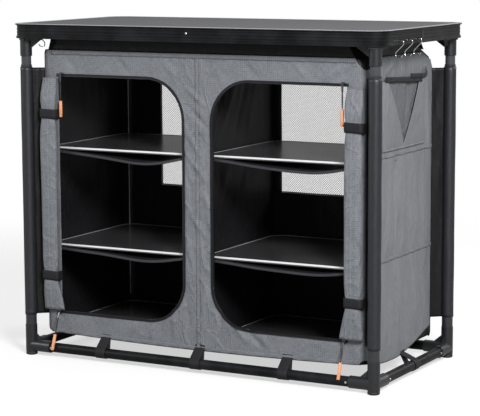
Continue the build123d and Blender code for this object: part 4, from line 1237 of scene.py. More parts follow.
    def side_wall(self, side: Side) -> None:
        """Make one side wall, black inside, and the skirt that shows under its sagging edge."""
        wall, sizes = self.sides[side], self.sizes
        steps = round(2 * wall.reach / self.cell), round((sizes.top - sizes.bottom) / self.cell)
        cut = flat_cut((-wall.reach, 0), (wall.reach, 1), steps)
        for vert in cut.verts:
            low = wall.lower_edge(vert.co.x)
            vert.co.y = low + (sizes.top - low) * vert.co.y
        hang(cut, wall.surface, flip=side is Side.LEFT)
        sizes.trim_corners(cut)
        finishes, nodes = (SIDE_RIPSTOP, TAFFETA), (f"{side.label}_panel",)
        made = self.shop.piece(
            f"wall_{side.label}", cut, finishes, "base", "grey_cloth", nodes, sizes.cloth
        )
        # Black cloth of the floor, turned up inside the wall; it shows where the edge rises
        low, high, inset = sizes.bottom + 3 * MM, 0.100, 1.8 * MM
        skirt = flat_cut((-wall.reach, low), (wall.reach, high), (60, 5))
        hang(skirt, lambda y, z: wall.surface(y, z, -inset), flip=side is Side.LEFT)
        sizes.trim_corners(skirt)
        made = self.shop.piece(
            f"skirt_{side.label}", skirt, (TAFFETA,), "base", "black_cloth", (), 0.7 * MM
        )

    def floor(self) -> None:
        """Make the body's floor."""
        low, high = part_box("floor_panel")
        cut = flat_cut((low.x, low.y), (high.x, high.y), (60, 30))
        drape = Drape(ripple=0.8 * MM, ripple_size=(0.09, 0.07), seed=4.0)
        hang(cut, lambda x, y: Vector((x, y, low.z + 1.2 * MM + min(drape.lift(x, y), 0.5 * MM))))
        self.sizes.trim_corners(cut)
        made = self.shop.piece(
            "body_floor", cut, (TAFFETA,), "base", "black_cloth", ("floor_panel",), 0.7 * MM
        )

    def divider(self) -> None:
        """Make the upright cloth between the two rows of compartments."""
        low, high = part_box("centre_divider")
        boards = [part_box(f"shelf_board_left_{level.label}")[1].z for level in Level]
        drape = Drape(DIVIDER_FOLDS, 2.0 * MM, (0.06, 0.14), 2.0)

        def place(across: float, up: float) -> Vector:
            """Return the place of a point; the edges and the boards hold the cloth flat."""
            side = (high.y - abs(across)) / 0.04
            held = min(1.0, side, (up - low.z) / 0.02, (high.z - up) / 0.02)
            for board in boards:
                held = min(held, max(0.25, abs(up - board) / 0.05))
            return Vector((drape.lift(across, up) * max(held, 0.0), across, up))

        cut = flat_cut((low.y, low.z), (high.y, high.z), (70, 110))
        hang(cut, place)
        nodes = ("centre_divider",)
        made = self.shop.piece(
            "body_divider", cut, (TAFFETA,), "base", "black_cloth", nodes, 0.8 * MM, 0.0
        )

    def sling(self, level: Level, side: Side) -> None:
        """Make the sling of one shelf level on one side, with a bound front edge."""
        low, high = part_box(f"shelf_sling_{level.label}")
        ledge, hem_height = 30 * MM, 6.5 * MM
        near, far = side.value * 1.6 * MM, side.value * (high.x - 0.6 * MM)
        width = abs(far - near)
        skew = -0.55 if side is Side.RIGHT else 0.5

        def sag(share: float, depth: float) -> float:
            """Return how far the sling hangs at a share of its width and of its depth."""
            inside = (share * width - ledge) / (width - 2 * ledge)
            if not 0 < inside < 1:
                return 0.0
            bent = inside + skew * inside * (1 - inside)
            wave = 2.24 * MM * math.sin(8.0 * inside + 3.0 * depth) * math.sin(math.pi * inside)
            return level.value * math.sin(math.pi * bent) ** 1.3 + wave

        def place(across: float, y: float) -> Vector:
            """Return the place of a point of the sling."""
            depth = (y - low.y) / (high.y - low.y)
            x = near + (far - near) * across / width
            return Vector((x, y, high.z - 0.3 * MM - max(sag(across / width, depth), 0.0)))

        def hem_place(across: float, up: float) -> Vector:
            """Return the place of a point of the hem, which hangs from the front edge."""
            back = 0.6 * MM + 0.10 * up * (up / hem_height)
            return place(across, low.y) + Vector((0, -back, -up))

        cut = flat_cut((0, low.y), (width, high.y - 0.4 * MM), (60, 26))
        hang(cut, place, flip=side is Side.LEFT)
        for point, outward in self.sizes.corner_planes(side, End.BACK, True):
            trim(cut, point, outward)
        name = f"sling_{level.label}_{side.label}"
        nodes = (f"shelf_sling_{level.label}",) if side is Side.LEFT else ()
        made = self.shop.piece(name, cut, (TAFFETA,), "base", "black_cloth", nodes, 0.8 * MM)
        hem = flat_cut((0, 0), (width, hem_height), (60, 3))
        hang(hem, hem_place, flip=side is Side.RIGHT)
        bound = self.shop.piece(
            f"{name}_hem", hem, (SLING_HEM,), "base", "black_cloth", (), 0.9 * MM, 0.0
        )

    def band(self, name: str, start: float, end: float) -> None:
        """Make the black band from one wall up to the tabletop, notched for the brace.

        Args:
            name: The wall that it stands over.
            start: Where it starts along that wall.
            end: Where it ends.
        """
        low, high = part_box("top_band")
        brace_half, brace_low = 14 * MM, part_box("cross_brace")[0].z - 2 * MM
        tall, slant = high.z - low.z, 25 * MM
        drape = Drape(ripple=2.6 * MM, ripple_size=(0.045, 0.3), seed=7.0)
        is_end = name in ("front", "back")
        sign = -1 if name in ("front", "left") else 1
        reach = self.sizes.half_d if is_end else self.sizes.half_w

        def place(across: float, up: float) -> Vector:
            """Return the place of a point; both long edges are held."""
            calm = min(1.0, (up - low.z) / 0.01, (high.z - up) / 0.01)
            out = sign * (reach - 1.0 * MM + drape.lift(across, up) * max(calm, 0.0))
            return Vector((across, out, up)) if is_end else Vector((out, across, up))

        cut = flat_cut((start, low.z), (end, high.z), (round((end - start) / 0.007), 9))
        if is_end:
            slit_up(cut, -brace_half, brace_half)
            slit_across(cut, brace_low)
            cut_away(cut, lambda x, z: abs(x) < brace_half and z > brace_low)
        trim(cut, Vector((start, low.z, 0)), Vector((-tall, slant, 0)).normalized())
        trim(cut, Vector((end, low.z, 0)), Vector((tall, slant, 0)).normalized())
        hang(cut, place, flip=name in ("back", "left"))
        nodes = ("top_band",) if name == "front" else ()
        made = self.shop.piece(
            f"band_{name}", cut, (TAFFETA,), "base", "black_cloth", nodes, 0.8 * MM
        )

    def block(self, inset: float) -> Mesh:
        """Return the body's closed outline with round uprights, drawn in by an inset."""
        sizes = self.sizes
        x, y = sizes.half_w - inset, sizes.half_d - inset
        block = flat_cut((-x, -y), (x, y), (1, 1))
        bmesh.ops.translate(block, vec=(0, 0, sizes.bottom), verts=block.verts)
        bmesh.ops.bevel(
            block,
            geom=block.verts[:],
            offset=sizes.corner_r - inset,
            segments=6,
            profile=0.5,
            affect="VERTICES",
            material=-1,
        )
        raised = bmesh.ops.extrude_face_region(block, geom=block.faces[:])["geom"]
        moved = [v for v in raised if isinstance(v, bmesh.types.BMVert)]
        bmesh.ops.translate(block, vec=(0, 0, sizes.top - sizes.bottom), verts=moved)
        return block

    def corner_facet(self, side: Side, end: End, top: bool) -> None:
        """Close one of the body's cut corners with black cloth, drawn in a little."""
        sizes, inset = self.sizes, 0.6 * MM
        facet = self.block(inset)
        mark = facet.faces.layers.int.new("facet")
        for point, outward in sizes.corner_planes(side, end, top):
            edges = trim(facet, point - outward * inset, outward)
            for face in bmesh.ops.contextual_create(facet, geom=edges)["faces"]:
                face[mark] = 1
        rest = [f for f in facet.faces if not f[mark]]
        bmesh.ops.delete(facet, geom=rest, context="FACES")
        bmesh.ops.triangulate(facet, faces=facet.faces[:])
        bmesh.ops.subdivide_edges(facet, edges=facet.edges[:], cuts=3, use_grid_fill=True)
        drape = Drape(ripple=1.6 * MM, ripple_size=(0.03, 0.03), seed=end.value + 3.0)
        rim = {v for e in facet.edges if e.is_boundary for v in e.verts}
        middle = Vector((0, 0, (sizes.top + sizes.bottom) / 2))
        for vert in facet.verts:
            if vert not in rim:
                slack = 1.5 * MM + drape.lift(vert.co.x + vert.co.z, vert.co.y)
                vert.co += (middle - vert.co).normalized() * slack
        lay_out(facet, lambda point: (point.x + point.y, point.z))
        face_out(facet, Vector((side.value, end.value, 1 if top else -1)))
        area = flat_area(facet)
        name = f"facet_{'top' if top else 'bottom'}_{end.label}_{side.label}"
        made = self.shop.piece(name, facet, (TAFFETA,), "base", "black_cloth", (), 0.6 * MM)

    def seams(self) -> None:
        """Sew the felled seams and the hems on the walls."""
        sizes, seam, hem = self.sizes, 9 * MM, 10 * MM

        def rise(along: float, aside: float) -> float:
            """Return the height off the cloth, uneven and puckered by the stitches."""
            pucker = 0.5 * MM * math.sin(along / 0.0065) * (abs(aside) / 0.0045)
            uneven = 0.4 * MM * noise.noise(Vector((along / 0.02, aside / 0.01, 1.0)))
            return 1.7 * MM + uneven + pucker

        upright = [(0, sizes.bottom - self.sag), (0, sizes.top)]
        rows = [("seam_front_middle", self.front, upright, seam)]
        for side, wall in self.sides.items():
            for level in Level:
                name = f"{side.label}_{level.label}"
                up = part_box(f"shelf_board_{name}")[1].z + seam
                rows.append((f"seam_{name}", wall, [(-wall.reach, up), (wall.reach, up)], seam))
        low, cells = sizes.bottom + 5.5 * MM, 20
        shares = [2 * at / cells - 1 for at in range(cells + 1)]
        curve = [(self.sag_half * at, low - self.sag * 0.9 * (1 - at**2)) for at in shares]
        rows.append(("hem_front_bottom", self.front, curve, hem))
        rows.append(("hem_front_top", self.front, [(-0.420, 0.7775), (0.420, 0.7775)], hem))
        for name, wall, points, width in rows:
            route = Route(tuple(Vector(p) for p in points))
            strip = ribbon(wall, route, width, rise, 4 * MM, 4)
            self.shop.piece(name, strip, (SEAM,), "base", "grey_cloth", (), 0.7 * MM)

    def linings(self) -> None:
        """Sew the strips on the back wall's inside that show through the doors."""
        # The divider's seam band, down the middle of the window
        low, high = self.window_low - 4 * MM, self.window_high + 4 * MM
        strip = self.lining(0, low, high, 44 * MM, -1.2 * MM, 4)
        self.shop.piece(
            "window_seam_band", strip, (TAFFETA,), "base", "black_cloth", (), 1.0 * MM, 0.0
        )
        # Piping in the back corners, pale as a painted highlight on the corner seams
        for side in Side:
            strip = self.lining(side.value * 0.446, 0.09, 0.69, 2.4 * MM, -2.2 * MM, 2)
            name = f"piping_back_{side.label}"
            self.shop.piece(name, strip, (THIN_BAND_AND_GLINT,), "base", "black_cloth", (), 0.8 * MM, 0.0)

    def lining(
        self, across: float, low: float, high: float, width: float, rise: float, rows: int
    ) -> Mesh:
        """Lay one upright strip on the back wall.

        Args:
            across: Where it is along the wall.
            low: Height of its lower end.
            high: Height of its upper end.
            width: Its width.
            rise: Its height off the cloth; below 0 it is inside the body.
            rows: Cells across.

        Returns:
            The strip.
        """
        route = Route((Vector((across, low)), Vector((across, high))))
        return ribbon(self.back, route, width, lambda along, aside: rise, 12 * MM, rows)


@dataclass
class DoorSet:
    """Both zipped doors: tape, the rolled cloth, its straps, sliders and pulls."""

    shop: Workshop
    front: EndWall
    door: Doorway = Doorway()
    tape_width: float = 6.5 * MM
    strap_width: float = 24 * MM
    roll_middle: float = 0.424
    # Heights of the two straps, and of the neck where the roll leaves the wall
    roll_pinches: tuple[float, float] = (0.210, 0.623)
    roll_neck: float = 0.722

    def build(self) -> None:
        """Make every part of the doors."""
        for side in Side:
            self.tape(side)
            self.roll(side)
        for side in Side:
            for number, up in enumerate(self.roll_pinches):
                self.strap(side, number, up)
        for name, drop in PULL_DROPS.items():
            self.shop.coat(ZIP_METAL, f"zip_slider_{name}")
            Pull(self.shop, name, drop).build()

    def tape(self, side: Side) -> None:
        """Sew the zip round one doorway, with its coil at the inner edge."""
        width = self.tape_width
        route = self.door.outline(side, width / 2, 5 * MM)
        inner_edge = self.door.outline(side, 0.4 * MM, 0.0)

        def rise(along: float, aside: float) -> float:
            """Return the height off the cloth, higher at the coil."""
            return 1.7 * MM + (1.1 * MM if -side.value * aside < -0.28 * width else 0.0)

        def place(along: float, deep: float) -> Vector:
            """Return the place of a point of the tape's free half."""
            point = inner_edge.at(along)[0]
            return self.front.surface(point.x, point.y, 0.6 * MM) + Vector((0, deep, 0))

        strip = ribbon(self.front, route, width, rise, 5 * MM, 8)
        name = f"zip_tape_{side.label}"
        nodes = ("zip_tapes",) if side is Side.LEFT else ()
        self.shop.piece(name, strip, (ZIP_TAPE,), "base", "zip_tape", nodes, 0.9 * MM)
        # The tape's free half, turned into the opening
        lip = flat_cut((0, 0), (inner_edge.length, 8 * MM), (round(inner_edge.length / 0.006), 2))
        hang(lip, place, flip=side is Side.RIGHT)
        self.shop.piece(f"{name}_lip", lip, (ZIP_TAPE,), "base", "zip_tape", (), 0.9 * MM, 0.0)

    def roll(self, side: Side) -> None:
        """Roll one door's cloth up beside its opening, drawn in at the straps."""
        low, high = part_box(f"rolled_door_{side.label}")
        middle = Vector(((low.x + high.x) / 2, (low.y + high.y) / 2))
        half = Vector(((high.x - low.x) / 2, (high.y - low.y) / 2))
        turns, gap, cloth_width = 3.4, 2.1 * MM, 0.325
        ripple = Drape(ripple=2.2 * MM, ripple_size=(0.03, 0.16), seed=11.0 + side.value)
        long_folds = Drape(ripple=1.6 * MM, ripple_size=(0.012, 0.25), seed=17.0 + side.value)

        def place(around: float, up: float) -> Vector:
            """Return the place of a point: a rounded box's outline that winds inwards."""
            share = around / cloth_width
            angle = math.tau * turns * share
            inside = gap * turns * share
            pinch = max(bell(up - at, 0.030) for at in (*self.roll_pinches, self.roll_neck))
            loose = (ripple.lift(around, up) + long_folds.lift(around, up)) * (1 - pinch)
            # It lies flatter against the wall at its top, and flares at its lower end
            flat = clamp((up - 0.655) / 0.06)
            flare = clamp((0.196 - up) / 0.07)
            a = half.x - 3.6 * MM * pinch - inside + loose - 1.6 * MM
            b = half.y - 3.2 * MM * pinch - 0.62 * inside + loose * 0.6 - 1.4 * MM
            b *= (1 - 0.6 * flat) * (1 - 0.35 * flare)
            back = (half.y - 1.4 * MM) * (0.6 * flat + 0.35 * flare)
            cosine, sine = math.cos(angle), math.sin(angle)
            x = math.copysign(abs(cosine) ** 0.6, cosine) * a
            y = math.copysign(abs(sine) ** 0.6, sine) * b
            if x > 0:
                x *= 1 + 0.55 * flare
            return Vector((middle.x - side.value * x, middle.y - y + back, up))

        cut = flat_cut((0, low.z), (cloth_width, high.z), (110, 90))
        hang(cut, place, flip=side is Side.LEFT)
        name, nodes = f"door_roll_{side.label}", (f"rolled_door_{side.label}",)
        made = self.shop.piece(name, cut, (RIPSTOP,), "base", "grey_cloth", nodes, 0.7 * MM)

    def strap(self, side: Side, number: int, up: float) -> None:
        """Make the webbing round one roll at one height."""
        half, radius, width = 23.6 * MM, 8 * MM, self.strap_width
        left, right = side.value * self.roll_middle - half, side.value * self.roll_middle + half
        wall_y, front_y = -0.2056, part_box("door_straps")[0].y + 0.8 * MM
        points = [Vector((left, wall_y))]
        points += arc((left + radius, front_y + radius), radius, 180, 270, 6)
        points += arc((right - radius, front_y + radius), radius, 270, 360, 6)
        points += [Vector((right, wall_y))]
        route = Route(tidy(points))

        def place(along: float, aside: float) -> Vector:
            """Return the place of a point, slightly crowned and crooked."""
            point, heading = route.at(along)
            crown = 0.5 * MM * math.cos(aside / width * math.pi)
            tilt = 0.8 * MM * math.sin(along * 60)
            spot = point + Vector((heading.y, -heading.x)) * crown
            return Vector((spot.x, spot.y, up + aside + tilt))

        cut = flat_cut((0, -width / 2), (route.length, width / 2), (40, 4))
        hang(cut, place)
        name = f"door_strap_{side.label}_{number}"
        nodes = ("door_straps",) if side is Side.LEFT and number == 0 else ()
        made = self.shop.piece(name, cut, (WEBBING,), "base", "webbing", nodes, 1.4 * MM, 0.0)


@dataclass
class Pull:
    """One slider's pull: a plate on the slider's pin, a doubled cord and a grip tube."""

    shop: Workshop
    name: str
    drop: float
    pin_y: float = -0.2115
    eye: float = 12 * MM
    cord: float = 1.9 * MM
    bow: float = 1.04 * MM
    grip_radius: float = 4.0 * MM
    grip_length: float = 41 * MM

    @property
    def length(self) -> float:
        """Length of each strand, from the plate's eye to the grip."""
        return self.drop - self.eye

    def build(self) -> None:
        """Make the plate, both strands and the grip."""
        turn = self.hanging()
        self.plate(turn)
        strands = [self.strand(turn, side) for side in Side]
        tube = self.grip(turn)
        for made, line in strands:
            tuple(line[0])
            self.length

    def hanging(self) -> Matrix:
        """Return how the pull hangs from its pin; a lower one leans out over the rail."""
        low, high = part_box(f"zip_slider_{self.name}")
        pin = Vector(((low.x + high.x) / 2, self.pin_y, (low.z + high.z) / 2))
        lean = 0.0
        if self.name.endswith("bottom"):
            out = pin.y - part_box(f"zip_pull_{self.name}")[0].y - 3.3 * MM
            lean = math.asin(clamp(out / (self.drop + self.grip_length)))
        return Matrix.Translation(pin) @ Matrix.Rotation(-lean, 4, "X")

    def plate(self, turn: Matrix) -> None:
        """Make the metal plate, with a raised middle."""
        plate = flat_cut((-2.5 * MM, -18 * MM), (2.5 * MM, 1.6 * MM), (2, 6))
        stand = Matrix.Rotation(math.radians(90), 4, "X")
        bmesh.ops.transform(plate, matrix=stand, verts=plate.verts)
        for vert in plate.verts:
            if abs(vert.co.x) < 1e-6 and -15 * MM < vert.co.z < -4 * MM:
                vert.co.y -= 0.5 * MM
        bmesh.ops.transform(plate, matrix=turn, verts=plate.verts)
        body, name = f"pull_{self.name}", f"pull_plate_{self.name}"
        self.shop.piece(
            name, plate, (ZIP_METAL,), body, "zip_metal", (), 1.2 * MM, 0.0, subdivide=2
        )

    def strand(self, turn: Matrix, side: Side) -> tuple[bpy.types.Object, list[Vector]]:
        """Make one strand of the cord, and return it with its line."""
        radius, cells = self.cord / 2, 9
        cord = bmesh.new()
        bmesh.ops.create_cone(
            cord, cap_ends=True, segments=10, radius1=radius, radius2=radius, depth=self.length
        )
        lengthwise = [e for e in cord.edges if abs((e.verts[0].co - e.verts[1].co).z) > 10 * MM]
        bmesh.ops.subdivide_edges(cord, edges=lengthwise, cuts=cells - 1)
        for vert in cord.verts:
            share = vert.co.z / self.length + 0.5
            vert.co.x += side.value * self.bow * math.sin(math.pi * share)
            vert.co.z -= (self.drop + self.eye) / 2
        bmesh.ops.transform(cord, matrix=turn, verts=cord.verts)
        lay_out(cord, lambda point: (point.x * 3, point.z))
        name = f"pull_cord_{self.name}_{'a' if side is Side.LEFT else 'b'}"
        made = self.shop.piece(name, cord, (CORD,), f"pull_{self.name}", "zip_tape")
        line = []
        for share in (at / cells for at in range(cells + 1)):
            out = side.value * self.bow * math.sin(math.pi * share)
            line.append(turn @ Vector((out, 0, -self.eye - self.length * share)))
        return made, line

    def grip(self, turn: Matrix) -> bpy.types.Object:
        """Make the grip tube, open a little way at both ends."""
        radius, half = self.grip_radius, self.grip_length / 2
        grip = bmesh.new()
        bmesh.ops.create_cone(
            grip, cap_ends=True, segments=28, radius1=radius, radius2=radius, depth=2 * half
        )
        ends = [f for f in grip.faces if len(f.verts) > 4]
        bmesh.ops.inset_individual(grip, faces=ends, thickness=1.5 * MM)
        for face in ends:
            bmesh.ops.translate(grip, vec=-face.normal * 1.2 * MM, verts=face.verts)
        on_rim = {
            v
            for v in grip.verts
            if abs(abs(v.co.z) - half) < 1e-5 and v.co.xy.length > radius - 0.1 * MM
        }
        rims = [e for e in grip.edges if on_rim.issuperset(e.verts)]
        bmesh.ops.bevel(
            grip, geom=rims, offset=0.6 * MM, segments=3, profile=0.5, affect="EDGES", material=-1
        )
        bmesh.ops.translate(grip, vec=(0, 0, -self.drop - half), verts=grip.verts)
        bmesh.ops.transform(grip, matrix=turn, verts=grip.verts)
        name, nodes = f"pull_grip_{self.name}", (f"zip_pull_{self.name}",)
        return self.shop.piece(name, grip, (GRIP,), f"pull_{self.name}", "orange_grip", nodes)


@dataclass
class LegCloth:
    """The sleeves round the legs, each joined to the body's corner by a web."""

    shop: Workshop
    sizes: BodySizes
    leg_x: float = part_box("leg_tube_front_right")[1].x - 14 * MM
    leg_y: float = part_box("leg_tube_back_right")[1].y - 14 * MM
    low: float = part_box("leg_sleeves")[0].z
    high: float = 0.740
    hem: float = 8 * MM
    radius: float = 15.0 * MM

    def build(self) -> None:
        """Make all four sleeves and webs."""
        for side, end in CORNERS:
            self.sleeve(side, end)
            self.web(side, end)

    def toward_body(self, side: Side, end: End) -> Vector:
        """Return the direction from a leg's axis to the middle of the body's corner arc."""
        corner_x = self.sizes.half_w - self.sizes.corner_r
        corner_y = self.sizes.half_d - self.sizes.corner_r
        return Vector(
            (side.value * (corner_x - self.leg_x), end.value * (corner_y - self.leg_y), 0)
        ).normalized()

    def sleeve(self, side: Side, end: End) -> None:
        """Make one sleeve: a tube of cloth with a turned hem at each end."""
        inward = self.toward_body(side, end)
        start = math.atan2(inward.y, inward.x)
        round_it = math.tau * self.radius
        seed = 20.0 + side.value + 3 * end.value
        ripple = Drape(ripple=1.0 * MM, ripple_size=(0.02, 0.16), seed=seed)

        def place(around: float, up: float) -> Vector:
            """Return the place of a point of the sleeve, tight at its hems and its seam."""
            angle = start + math.tau * around / round_it
            edge = min(up - self.low, self.high - up)
            cuff = 0.35 * MM if edge < self.hem else 0.0
            seam = min(around, round_it - around) / round_it
            loose = abs(ripple.lift(around, up)) * min(1.0, seam * 6) * (edge > self.hem)
            out = self.radius + 0.3 * MM + cuff + min(loose, 1.2 * MM)
            return Vector(
                (
                    side.value * self.leg_x + math.cos(angle) * out,
                    end.value * self.leg_y + math.sin(angle) * out,
                    up,
                )
            )

        cut = flat_cut((0, self.low), (round_it, self.high), (32, 90))
        for up in (self.low + self.hem, self.high - self.hem):
            slit_across(cut, up - 0.9 * MM, up + 0.9 * MM)
        hang(cut, place, close=True)
        name = f"{end.label}_{side.label}"
        nodes = ("leg_sleeves",) if name == "front_left" else ()
        made = self.shop.piece(
            f"leg_sleeve_{name}", cut, (SLEEVE,), "base", "black_cloth", nodes, 0.7 * MM
        )

    def web(self, side: Side, end: End) -> None:
        """Make the web from one sleeve to the body's upright corner, up to its top corner."""
        inward = self.toward_body(side, end)
        axis = Vector((side.value * self.leg_x, end.value * self.leg_y, 0))
        span = math.hypot(
            self.leg_x - self.sizes.half_w + self.sizes.corner_r,
            self.leg_y - self.sizes.half_d + self.sizes.corner_r,
        )
        reach = span - self.sizes.corner_r + 0.5 * MM
        low, top = self.low, self.high - 2 * MM
        aside = Vector((-inward.y, inward.x, 0))
        seed = 30.0 + side.value + end.value
        ripple = Drape(ripple=5.0 * MM, ripple_size=(0.04, 0.10), seed=seed)

        def place(across: float, up: float) -> Vector:
            """Return the place of a point of the web, held at both upright edges."""
            share = (across - self.radius) / (reach - self.radius)
            lift = ripple.lift(across, up) * math.sin(math.pi * clamp(share))
            return axis + inward * across + aside * lift + Vector((0, 0, up))

        cut = flat_cut((self.radius, low), (reach, top), (10, 90))
        area = flat_area(cut)
        hang(cut, place, flip=side.value * end.value > 0)
        name = f"{end.label}_{side.label}"
        made = self.shop.piece(
            f"leg_web_{name}", cut, (TAFFETA,), "base", "black_cloth", (), 1.2 * MM, 0.0
        )


@dataclass
class RailStraps:
    """Webbing loops that tie the body's lower edge to the rails."""

    shop: Workshop
    width: float = 28 * MM
    loop: float = 13.4 * MM
    # Where the straps are along X at the front and back, and along Y at the sides
    end_places: tuple[float, ...] = (-0.268, 0.004, 0.246)
    side_place: float = 0.008
    # Each wall's lower edge: its distance from the middle and its height
    end_edge: tuple[float, float] = (0.2045, 0.0615)
    side_edge: tuple[float, float] = (0.4515, 0.0505)

    def build(self) -> None:
        """Make all eight straps."""
        low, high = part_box("bottom_rail_back")
        rail_y, rail_z = (low.y + high.y) / 2, (low.z + high.z) / 2
        low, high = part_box("bottom_rail_right")
        rail_x = (low.x + high.x) / 2
        for end in End:
            wall, up = rail_y - self.end_edge[0], self.end_edge[1] - rail_z
            for number, at in enumerate(self.end_places):
                origin = Vector((at, end.value * rail_y, rail_z))
                inward = Vector((0, -end.value, 0))
                first = end is End.FRONT and number == 0
                self.strap(f"rail_strap_{end.label}_{number}", origin, inward, wall, up, first)
        for side in Side:
            wall, up = rail_x - self.side_edge[0], self.side_edge[1] - rail_z
            origin = Vector((side.value * rail_x, self.side_place, rail_z))
            inward = Vector((-side.value, 0, 0))
            self.strap(f"rail_strap_{side.label}", origin, inward, wall, up, False)

    def strap(
        self, name: str, origin: Vector, inward: Vector, wall: float, up: float, first: bool
    ) -> None:
        """Make one strap: down from the wall, round the rail and back up.

        Args:
            name: The piece's name.
            origin: The rail's axis at the strap.
            inward: Horizontal direction from the rail to the body.
            wall: Distance from the axis to the wall along that direction.
            up: Height of the wall's lower edge over the axis.
            first: Whether this piece stands for the CAD node.
        """
        radius = self.loop
        lean = math.atan2(up, wall)
        opening = math.acos(radius / math.hypot(wall, up))
        start, end = math.degrees(lean - opening), math.degrees(lean + opening) - 360
        sewn, apart = 6 * MM, 0.4 * MM
        points = [Vector((wall, up + sewn)), Vector((wall, up))]
        points += arc((0, 0), radius, start, end, 26)
        points += [Vector((wall - apart, up)), Vector((wall - apart, up + sewn))]
        route = Route(tidy(points))
        cut = flat_cut((0, -self.width / 2), (route.length, self.width / 2), (60, 4))
        sideways = Vector((0, 0, 1)).cross(inward)

        def place(along: float, aside: float) -> Vector:
            """Return the place of a point; the strap is drawn in near where it is sewn."""
            point = route.at(along)[0]
            pinch = 1.0 - 0.10 * bell(along - 12 * MM, 20 * MM)
            return origin + inward * point.x + Vector((0, 0, point.y)) + sideways * aside * pinch

        hang(cut, place)
        nodes = ("rail_straps",) if first else ()
        made = self.shop.piece(name, cut, (WEBBING,), "base", "webbing", nodes, 1.3 * MM, 0.0)


@dataclass
class SidePocket:
    """The pleated pocket on the right wall, bound with two overlapping lengths of webbing."""

    shop: Workshop
    wall: SideWall
    front: float = -0.124
    back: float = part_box("side_pocket")[1].y
    low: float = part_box("side_pocket")[0].z
    high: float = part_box("side_pocket")[1].z
    mouth: float = 11 * MM
    apex: tuple[float, float] = (0.001, 0.568)
    pleats: tuple[float, float] = (-0.112, 0.074)

    def bulge(self, across: float, up: float) -> float:
        """Return how far the pocket stands off the wall."""
        side = min(across - self.front, self.back - across) / 0.03
        share = (up - self.low) / (self.high - self.low)
        full = self.mouth * math.sin(math.pi / 2 * clamp(share)) ** 0.7
        out = full * clamp(side) ** 0.5
        # The cloth stands up in a soft ridge along each pleat
        rise = self.pleat_rise(up)
        if rise > 0:
            ridge = bell(self.pleat_gap(across, up) + 3 * MM, 4 * MM)
            out += 1.8 * MM * ridge * min(1.0, rise * 2)
        return out + 0.9 * MM

    def pleat_rise(self, up: float) -> float:
        """Return a height's share of the V between the pleats, from 0 at its point."""
        return (up - self.apex[1]) / (self.high - self.apex[1])

    def pleat_gap(self, across: float, up: float) -> float:
        """Return how far a point lies inside the V between the pleats."""
        rise = self.pleat_rise(up)
        left = self.apex[0] + (self.pleats[0] - self.apex[0]) * rise
        right = self.apex[0] + (self.pleats[1] - self.apex[0]) * rise
        return min(across - left, right - across)

    def cloth(self) -> Mesh:
        """Return the pocket's flat cut, divided along the two pleats."""
        cut = flat_cut((self.front, self.low), (self.back, self.high - 4 * MM), (110, 60))
        for top in self.pleats:
            run = Vector((top - self.apex[0], self.high - self.apex[1]))
            split(cut, self.apex, (run.y, -run.x))
        return cut

    def build(self) -> None:
        """Make the pocket's cloth, its pleat, both bindings and the seam round it."""
        self.outside()
        self.pleat()
        front = ((-0.118, 0.7290), (0.086, 0.7190))
        self.binding("pocket_binding_front", front, 1.6 * MM, 13 * MM)
        back = ((0.012, 0.7310), (0.098, 0.7270), (0.116, 0.7290), (0.133, 0.7420))
        self.binding("pocket_binding_back", back, 3.0 * MM, 11 * MM)
        self.seam()

    def outside(self) -> None:
        """Make the pocket's outer cloth, open between the pleats."""
        cut = self.cloth()
        cut_away(cut, lambda y, z: self.pleat_gap(y, z) > 0 and z > self.apex[1])
        area = flat_area(cut)
        hang(cut, lambda y, z: self.wall.surface(y, z, self.bulge(y, z)))
        nodes = ("side_pocket",)
        made = self.shop.piece(
            "pocket_cloth", cut, (SIDE_RIPSTOP,), "base", "grey_cloth", nodes, 0.8 * MM
        )

    def pleat(self) -> None:
        """Make the cloth that lies deeper, between the pleats, in a darker finish as painted
        shade.
        """
        under = 5 * MM

        def place(y: float, z: float) -> Vector:
            """Return the place of a point, creased down its middle."""
            rise = max(0.0, self.pleat_rise(z))
            middle = self.apex[0] + 0.016 * rise
            crease = 4.5 * MM * bell(y - middle, 11 * MM) * min(1.0, rise * 2)
            deep = 3.0 * MM + 2.2 * MM * (y > middle) * min(1.0, rise * 2)
            return self.wall.surface(y, z, max(self.bulge(y, z) - deep - crease, 1.2 * MM))

        cut = self.cloth()
        cut_away(cut, lambda y, z: self.pleat_gap(y, z) < -under or z < self.apex[1] - 4 * MM)
        area = flat_area(cut)
        hang(cut, place)
        made = self.shop.piece(
            "pocket_pleat", cut, (PLEAT_SHADE_RIPSTOP,), "base", "grey_cloth", (), 0.8 * MM
        )

    def binding(
        self, name: str, points: tuple[tuple[float, float], ...], lift: float, width: float
    ) -> None:
        """Sew one length of webbing on the pocket's mouth.

        Args:
            name: The piece's name.
            points: Its line, in the wall's flat coordinates.
            lift: Its height off the pocket's cloth.
            width: Its width.
        """
        route = Route(tuple(Vector(p) for p in points))

        def rise(along: float, aside: float) -> float:
            """Return the height off the wall, with a slight flutter."""
            spot = route.at(along)[0]
            flutter = 0.8 * MM * noise.noise(Vector((along / 0.03, aside / 0.02, lift * 900)))
            return self.bulge(spot.x, min(spot.y, self.high - 3 * MM)) + lift + flutter

        strip = ribbon(self.wall, route, width, rise, 5 * MM, 4)
        self.shop.piece(name, strip, (WEBBING,), "base", "webbing", (), 1.2 * MM, 0.0)

    def seam(self) -> None:
        """Sew the seam round the pocket's other three edges."""
        front, back, low = self.front + 3 * MM, self.back - 3 * MM, self.low + 3 * MM
        top = self.high - 12 * MM
        points = ((front, top), (front, low), (back, low), (back, top))
        route = Route(tuple(Vector(p) for p in points))
        strip = ribbon(self.wall, route, 6 * MM, lambda along, aside: 2.2 * MM, 4 * MM, 2)
        self.shop.piece("pocket_seam", strip, (SEAM,), "base", "grey_cloth", (), 0.6 * MM)


# Rigid parts ----------------------------------------------------------------------------------


